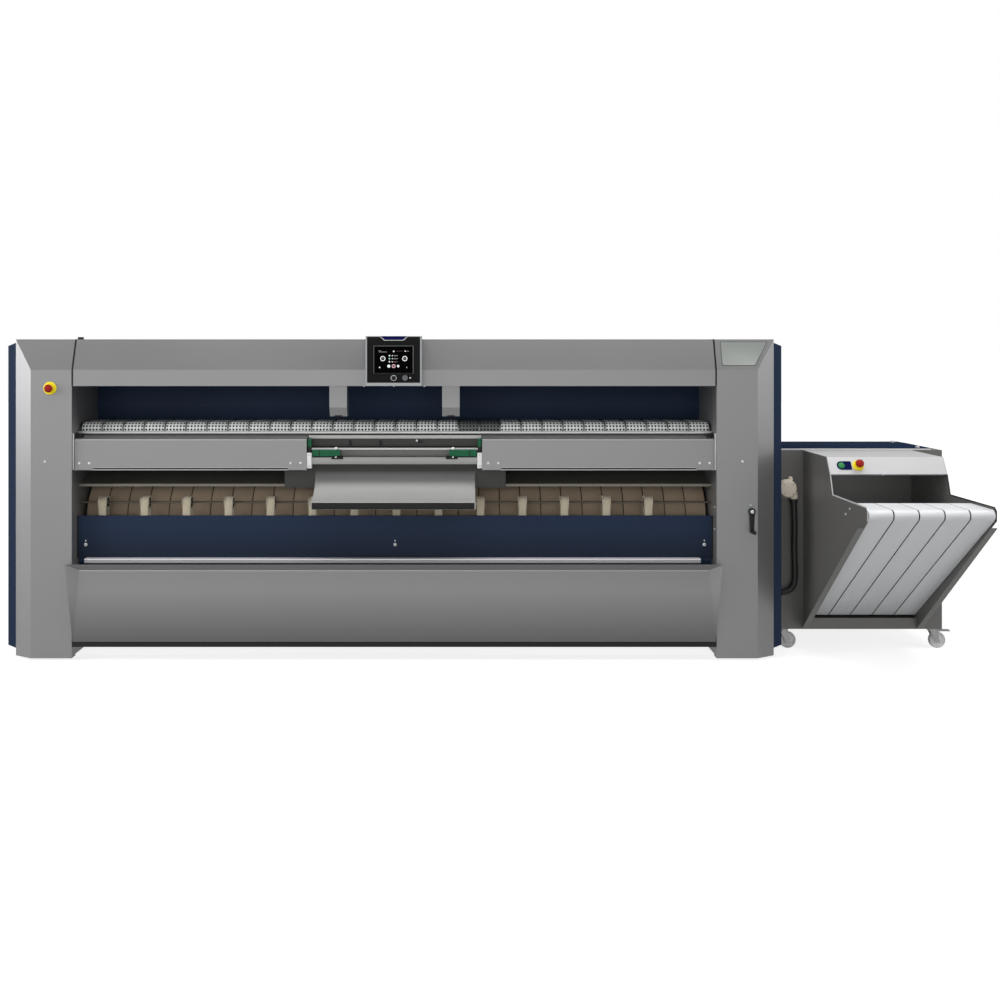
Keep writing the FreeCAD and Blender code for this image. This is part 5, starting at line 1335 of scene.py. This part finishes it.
class IRONER_OT_stacker_trim(Operator):
    """Makes the stacker's lid with its bolts, and the black edges of the hopper and the light ones, which are
    painted highlights
    """

    bl_idname = "ironer.stacker_trim"
    bl_label = "Stacker lid and trim"

    def execute(self, context):
        low, high = node_box("stacker_top")
        x = (low[0], high[0])
        form = Form().block(x, (low[1], high[1]), (low[2], high[2]), 2.5, "x", 1.2)
        form.block(x, (low[1] - 2, low[1] + 1), (low[2] + 0.5, high[2] - 2), 0.8, "x", 0.6, paint=1)
        bolt = [(0, -0.5), (15, -0.5), (15, 1.4), (11, 2), (11, 7.6), (9, 9), (0, 9.4)]
        spots = [(high[0] - 56, y, high[2]) for y in (283, 647)]
        form.turn(bolt, (0, 0, 0), UP, 24, paint=2, at=spots)
        finishes = ["lid_paint", "trim_steel", "screw_zinc"]
        form.build("stacker_lid", finishes, slot="blue_paint", replaces=["stacker_top"])
        (wall, _, _), (far, _, _) = node_box("stacker_console")
        path = [(-173, 1180), (-226, 1090), (-263, 984), (-735, 984), (-753, 966), (-753, 915)]
        outward, inward, rise, sink = 4.2, 0.2, 1.4, 5
        left, right = (wall - outward, wall + inward), (far - inward, far + outward)
        # The light strips along the tops of the hopper's walls are painted highlights on their bent edges.
        trim = Form().solid(edging(path, left, rise, sink))
        trim.solid(edging(path[1:], right, rise, sink), paint=1)
        trim.solid(edging(path[:2], right, rise, sink))
        trim.build("hopper_edging", ["trim_steel", "black_plastic"], slot="stacker_light")
        return {"FINISHED"}


class IRONER_OT_rear(Operator):
    """Adds the service doors with their louvres, latches and handles to the rear panel"""

    bl_idname = "ironer.rear"
    bl_label = "Rear doors"

    def execute(self, context):
        back, half, skin = 1300.0, 470, 4
        slats, slat_low, slat_pitch, slat_half = 8, 250, 24, 170
        doors, vents, fittings = Form(), Form(), Form()
        slat = np.array([(back + 3.6, 0), (back + 12, -9), (back + 12.8, -8), (back + 5, 6), (back + 3.6, 6)])
        bow = np.array([(-70, 3), (-70, 29), (-58, 37), (58, 37), (70, 29), (70, 3)], float)
        latch = [(0, 0), (13, 0), (13, 2), (11, 4), (8, 4.4), (7.4, 3), (0, 3)]
        middles = (-1485, -495, 495, 1485)
        for x in middles:
            doors.block((x - half, x + half), (back, back + skin), (140, 1300), 6, "y", 2)
            for number in range(slats):
                line = slat + (0, slat_low + number * slat_pitch)
                vents.solid(bar(line, (x - slat_half, x + slat_half), "x", 1))
            path = np.column_stack([x + bow[:, 0], back + bow[:, 1], np.full(len(bow), 850)])
            fittings.solid(pipe(path, 6.5, UP, 14))
        heights = (180, 720, 1260)
        spots = [(x + side * 440, back + skin, z) for x in middles for side in SIDES for z in heights]
        fittings.turn(latch, (0, 0, 0), TO_BACK, 20, paint=1, at=spots)
        doors.build("rear_doors", ["grey_paint"])
        vents.build("rear_louvres", ["grey_paint"])
        fittings.build("rear_fittings", ["black_plastic", "zinc"], slot="dull_steel")
        return {"FINISHED"}


# Each lamp: its strength in key lights, its place, its aim in metres, and its width and height.
LAMPS = {
    "key": (1.04, (-1.0, -7.5, 1.7), (0, 0, 1.0), 9.0, 3.0),
    "left": (2.2, (-7.0, -2.2, 2.6), (0.0, 0, 1.2), 3.0, 3.0),
    "right": (0.7, (7.2, -2.6, 2.6), (0.5, 0, 1.2), 3.0, 3.0),
    "top": (2.3, (0.8, -1.3, 5.0), (0.8, -0.9, 0), 9.0, 2.0),
}


class IRONER_OT_stage(Operator):
    """Sets the floor, the lights and the camera"""

    bl_idname = "ironer.stage"
    bl_label = "Stage"

    def place_camera(self, scene):
        camera = bpy.data.objects.new("camera", bpy.data.cameras.new("camera"))
        scene.collection.objects.link(camera)
        camera.location = np.array([0.358, -6.0, 1.761]) + ORIGIN
        camera.rotation_euler = (math.radians(90), 0, 0)
        camera.data.lens = scene.ironer_stage.lens
        camera.data.sensor_width = 36
        camera.data.shift_x, camera.data.shift_y = 0.043, -0.148
        camera.data.clip_end = 60
        scene.camera = camera

    def lay_floor(self, scene):
        """A white floor that keeps its shadows near the machine and whitens away from it."""
        size, near, fade = 30.0, 3.5, 3.0
        mesh = bpy.data.meshes.new("floor")
        corners = [(-size, -size, 0), (size, -size, 0), (size, size, 0), (-size, size, 0)]
        mesh.from_pydata(corners, [], [(0, 1, 2, 3)])
        floor = bpy.data.objects.new("floor", mesh)
        scene.collection.objects.link(floor)
        paint = Paint("floor_paint")
        seen, shiny, through = paint.rays()
        east, north, _ = paint.split(paint.place())
        far = (((east * east + north * north) ** 0.5 - near) / fade).clamped()
        glow = seen.most(through).most(shiny * 0.7) * (far * 0.18 + 0.82)
        white = paint.add("ShaderNodeEmission", {}, {"Strength": glow})
        paint.set(base_color=(0.4, 0.4, 0.4), roughness=0.9, specular_ior_level=0.1)
        skin = Value(paint, paint.surface.outputs[0])
        join = paint.add("ShaderNodeAddShader", {}, {0: skin, 1: white})
        paint.feed(paint.tree.nodes["Material Output"].inputs["Surface"], join)
        mesh.materials.append(paint.material)

    def fill_world(self, scene):
        """A world that is white to the camera, and to the object an even light that dims upwards."""
        world = bpy.data.worlds.new("studio")
        scene.world = world
        world.use_nodes = True
        fill = scene.ironer_stage.fill
        sky = Graph(world.node_tree)
        seen, shiny, through = sky.rays()
        rise = sky.split(sky.add("ShaderNodeTexCoord"))[2]
        dim = 1 - (rise.clamped() * 1.6).least(0.8)
        level = dim * (shiny * (1 - fill) + fill)
        white = seen.most(through)
        back = world.node_tree.nodes["Background"]
        back.inputs["Color"].default_value = (1, 1, 1, 1)
        sky.feed(back.inputs["Strength"], level + white * (1 - level))

    def hang_lamps(self, scene):
        """Hangs each lamp at its place and turns it towards its aim."""
        for name, (strength, place, aim, width, height) in LAMPS.items():
            light = bpy.data.lights.new(name, "AREA")
            light.shape = "RECTANGLE"
            light.size, light.size_y, light.energy = width, height, scene.ironer_stage.key * strength
            lamp = bpy.data.objects.new(name, light)
            scene.collection.objects.link(lamp)
            lamp.location = place
            x, y, z = np.array(aim) - np.array(place)
            lamp.rotation_euler = (math.atan2(math.hypot(x, y), -z), 0, math.atan2(y, x) - math.pi / 2)

    def execute(self, context):
        scene = context.scene
        self.place_camera(scene)
        self.lay_floor(scene)
        self.fill_world(scene)
        self.hang_lamps(scene)
        scene.view_settings.view_transform = "Standard"
        return {"FINISHED"}


OPERATORS = [
    IRONER_OT_stage,
    IRONER_OT_cable,
    IRONER_OT_panels,
    IRONER_OT_feed_belts,
    IRONER_OT_ironing_belts,
    IRONER_OT_tapes,
    IRONER_OT_stacker_belts,
    IRONER_OT_control_panel,
    IRONER_OT_buttons,
    IRONER_OT_crank,
    IRONER_OT_clamp_window,
    IRONER_OT_chute,
    IRONER_OT_fasteners,
    IRONER_OT_feet,
    IRONER_OT_casters,
    IRONER_OT_plates,
    IRONER_OT_rails,
    IRONER_OT_stacker_trim,
    IRONER_OT_rear,
]


class IRONER_PT_pieces(Panel):
    """Lists the ironer's pieces in the sidebar"""

    bl_idname = "IRONER_PT_pieces"
    bl_label = "Flatwork Ironer"
    bl_space_type = "VIEW_3D"
    bl_region_type = "UI"
    bl_category = "Ironer"

    def draw(self, context):
        for operator in OPERATORS:
            self.layout.operator(operator.bl_idname)
        for group in (context.scene.ironer_colours, context.scene.ironer_belts, context.scene.ironer_stage):
            box = self.layout.box()
            for name in group.__annotations__:
                box.prop(group, name)


GROUPS = [("ironer_colours", IronerColours), ("ironer_belts", BeltSizes), ("ironer_stage", StageSettings)]


def register():
    for _, group in GROUPS:
        bpy.utils.register_class(group)
    for name, group in GROUPS:
        setattr(bpy.types.Scene, name, PointerProperty(type=group))
    for item in [*OPERATORS, IRONER_PT_pieces]:
        bpy.utils.register_class(item)


def unregister():
    for item in reversed([*OPERATORS, IRONER_PT_pieces]):
        bpy.utils.unregister_class(item)
    for name, group in reversed(GROUPS):
        delattr(bpy.types.Scene, name)
        bpy.utils.unregister_class(group)


def main():
    register()
    for operator in OPERATORS:
        group, name = operator.bl_idname.split(".")
        getattr(getattr(bpy.ops, group), name)()


if __name__ == "__main__":
    main()
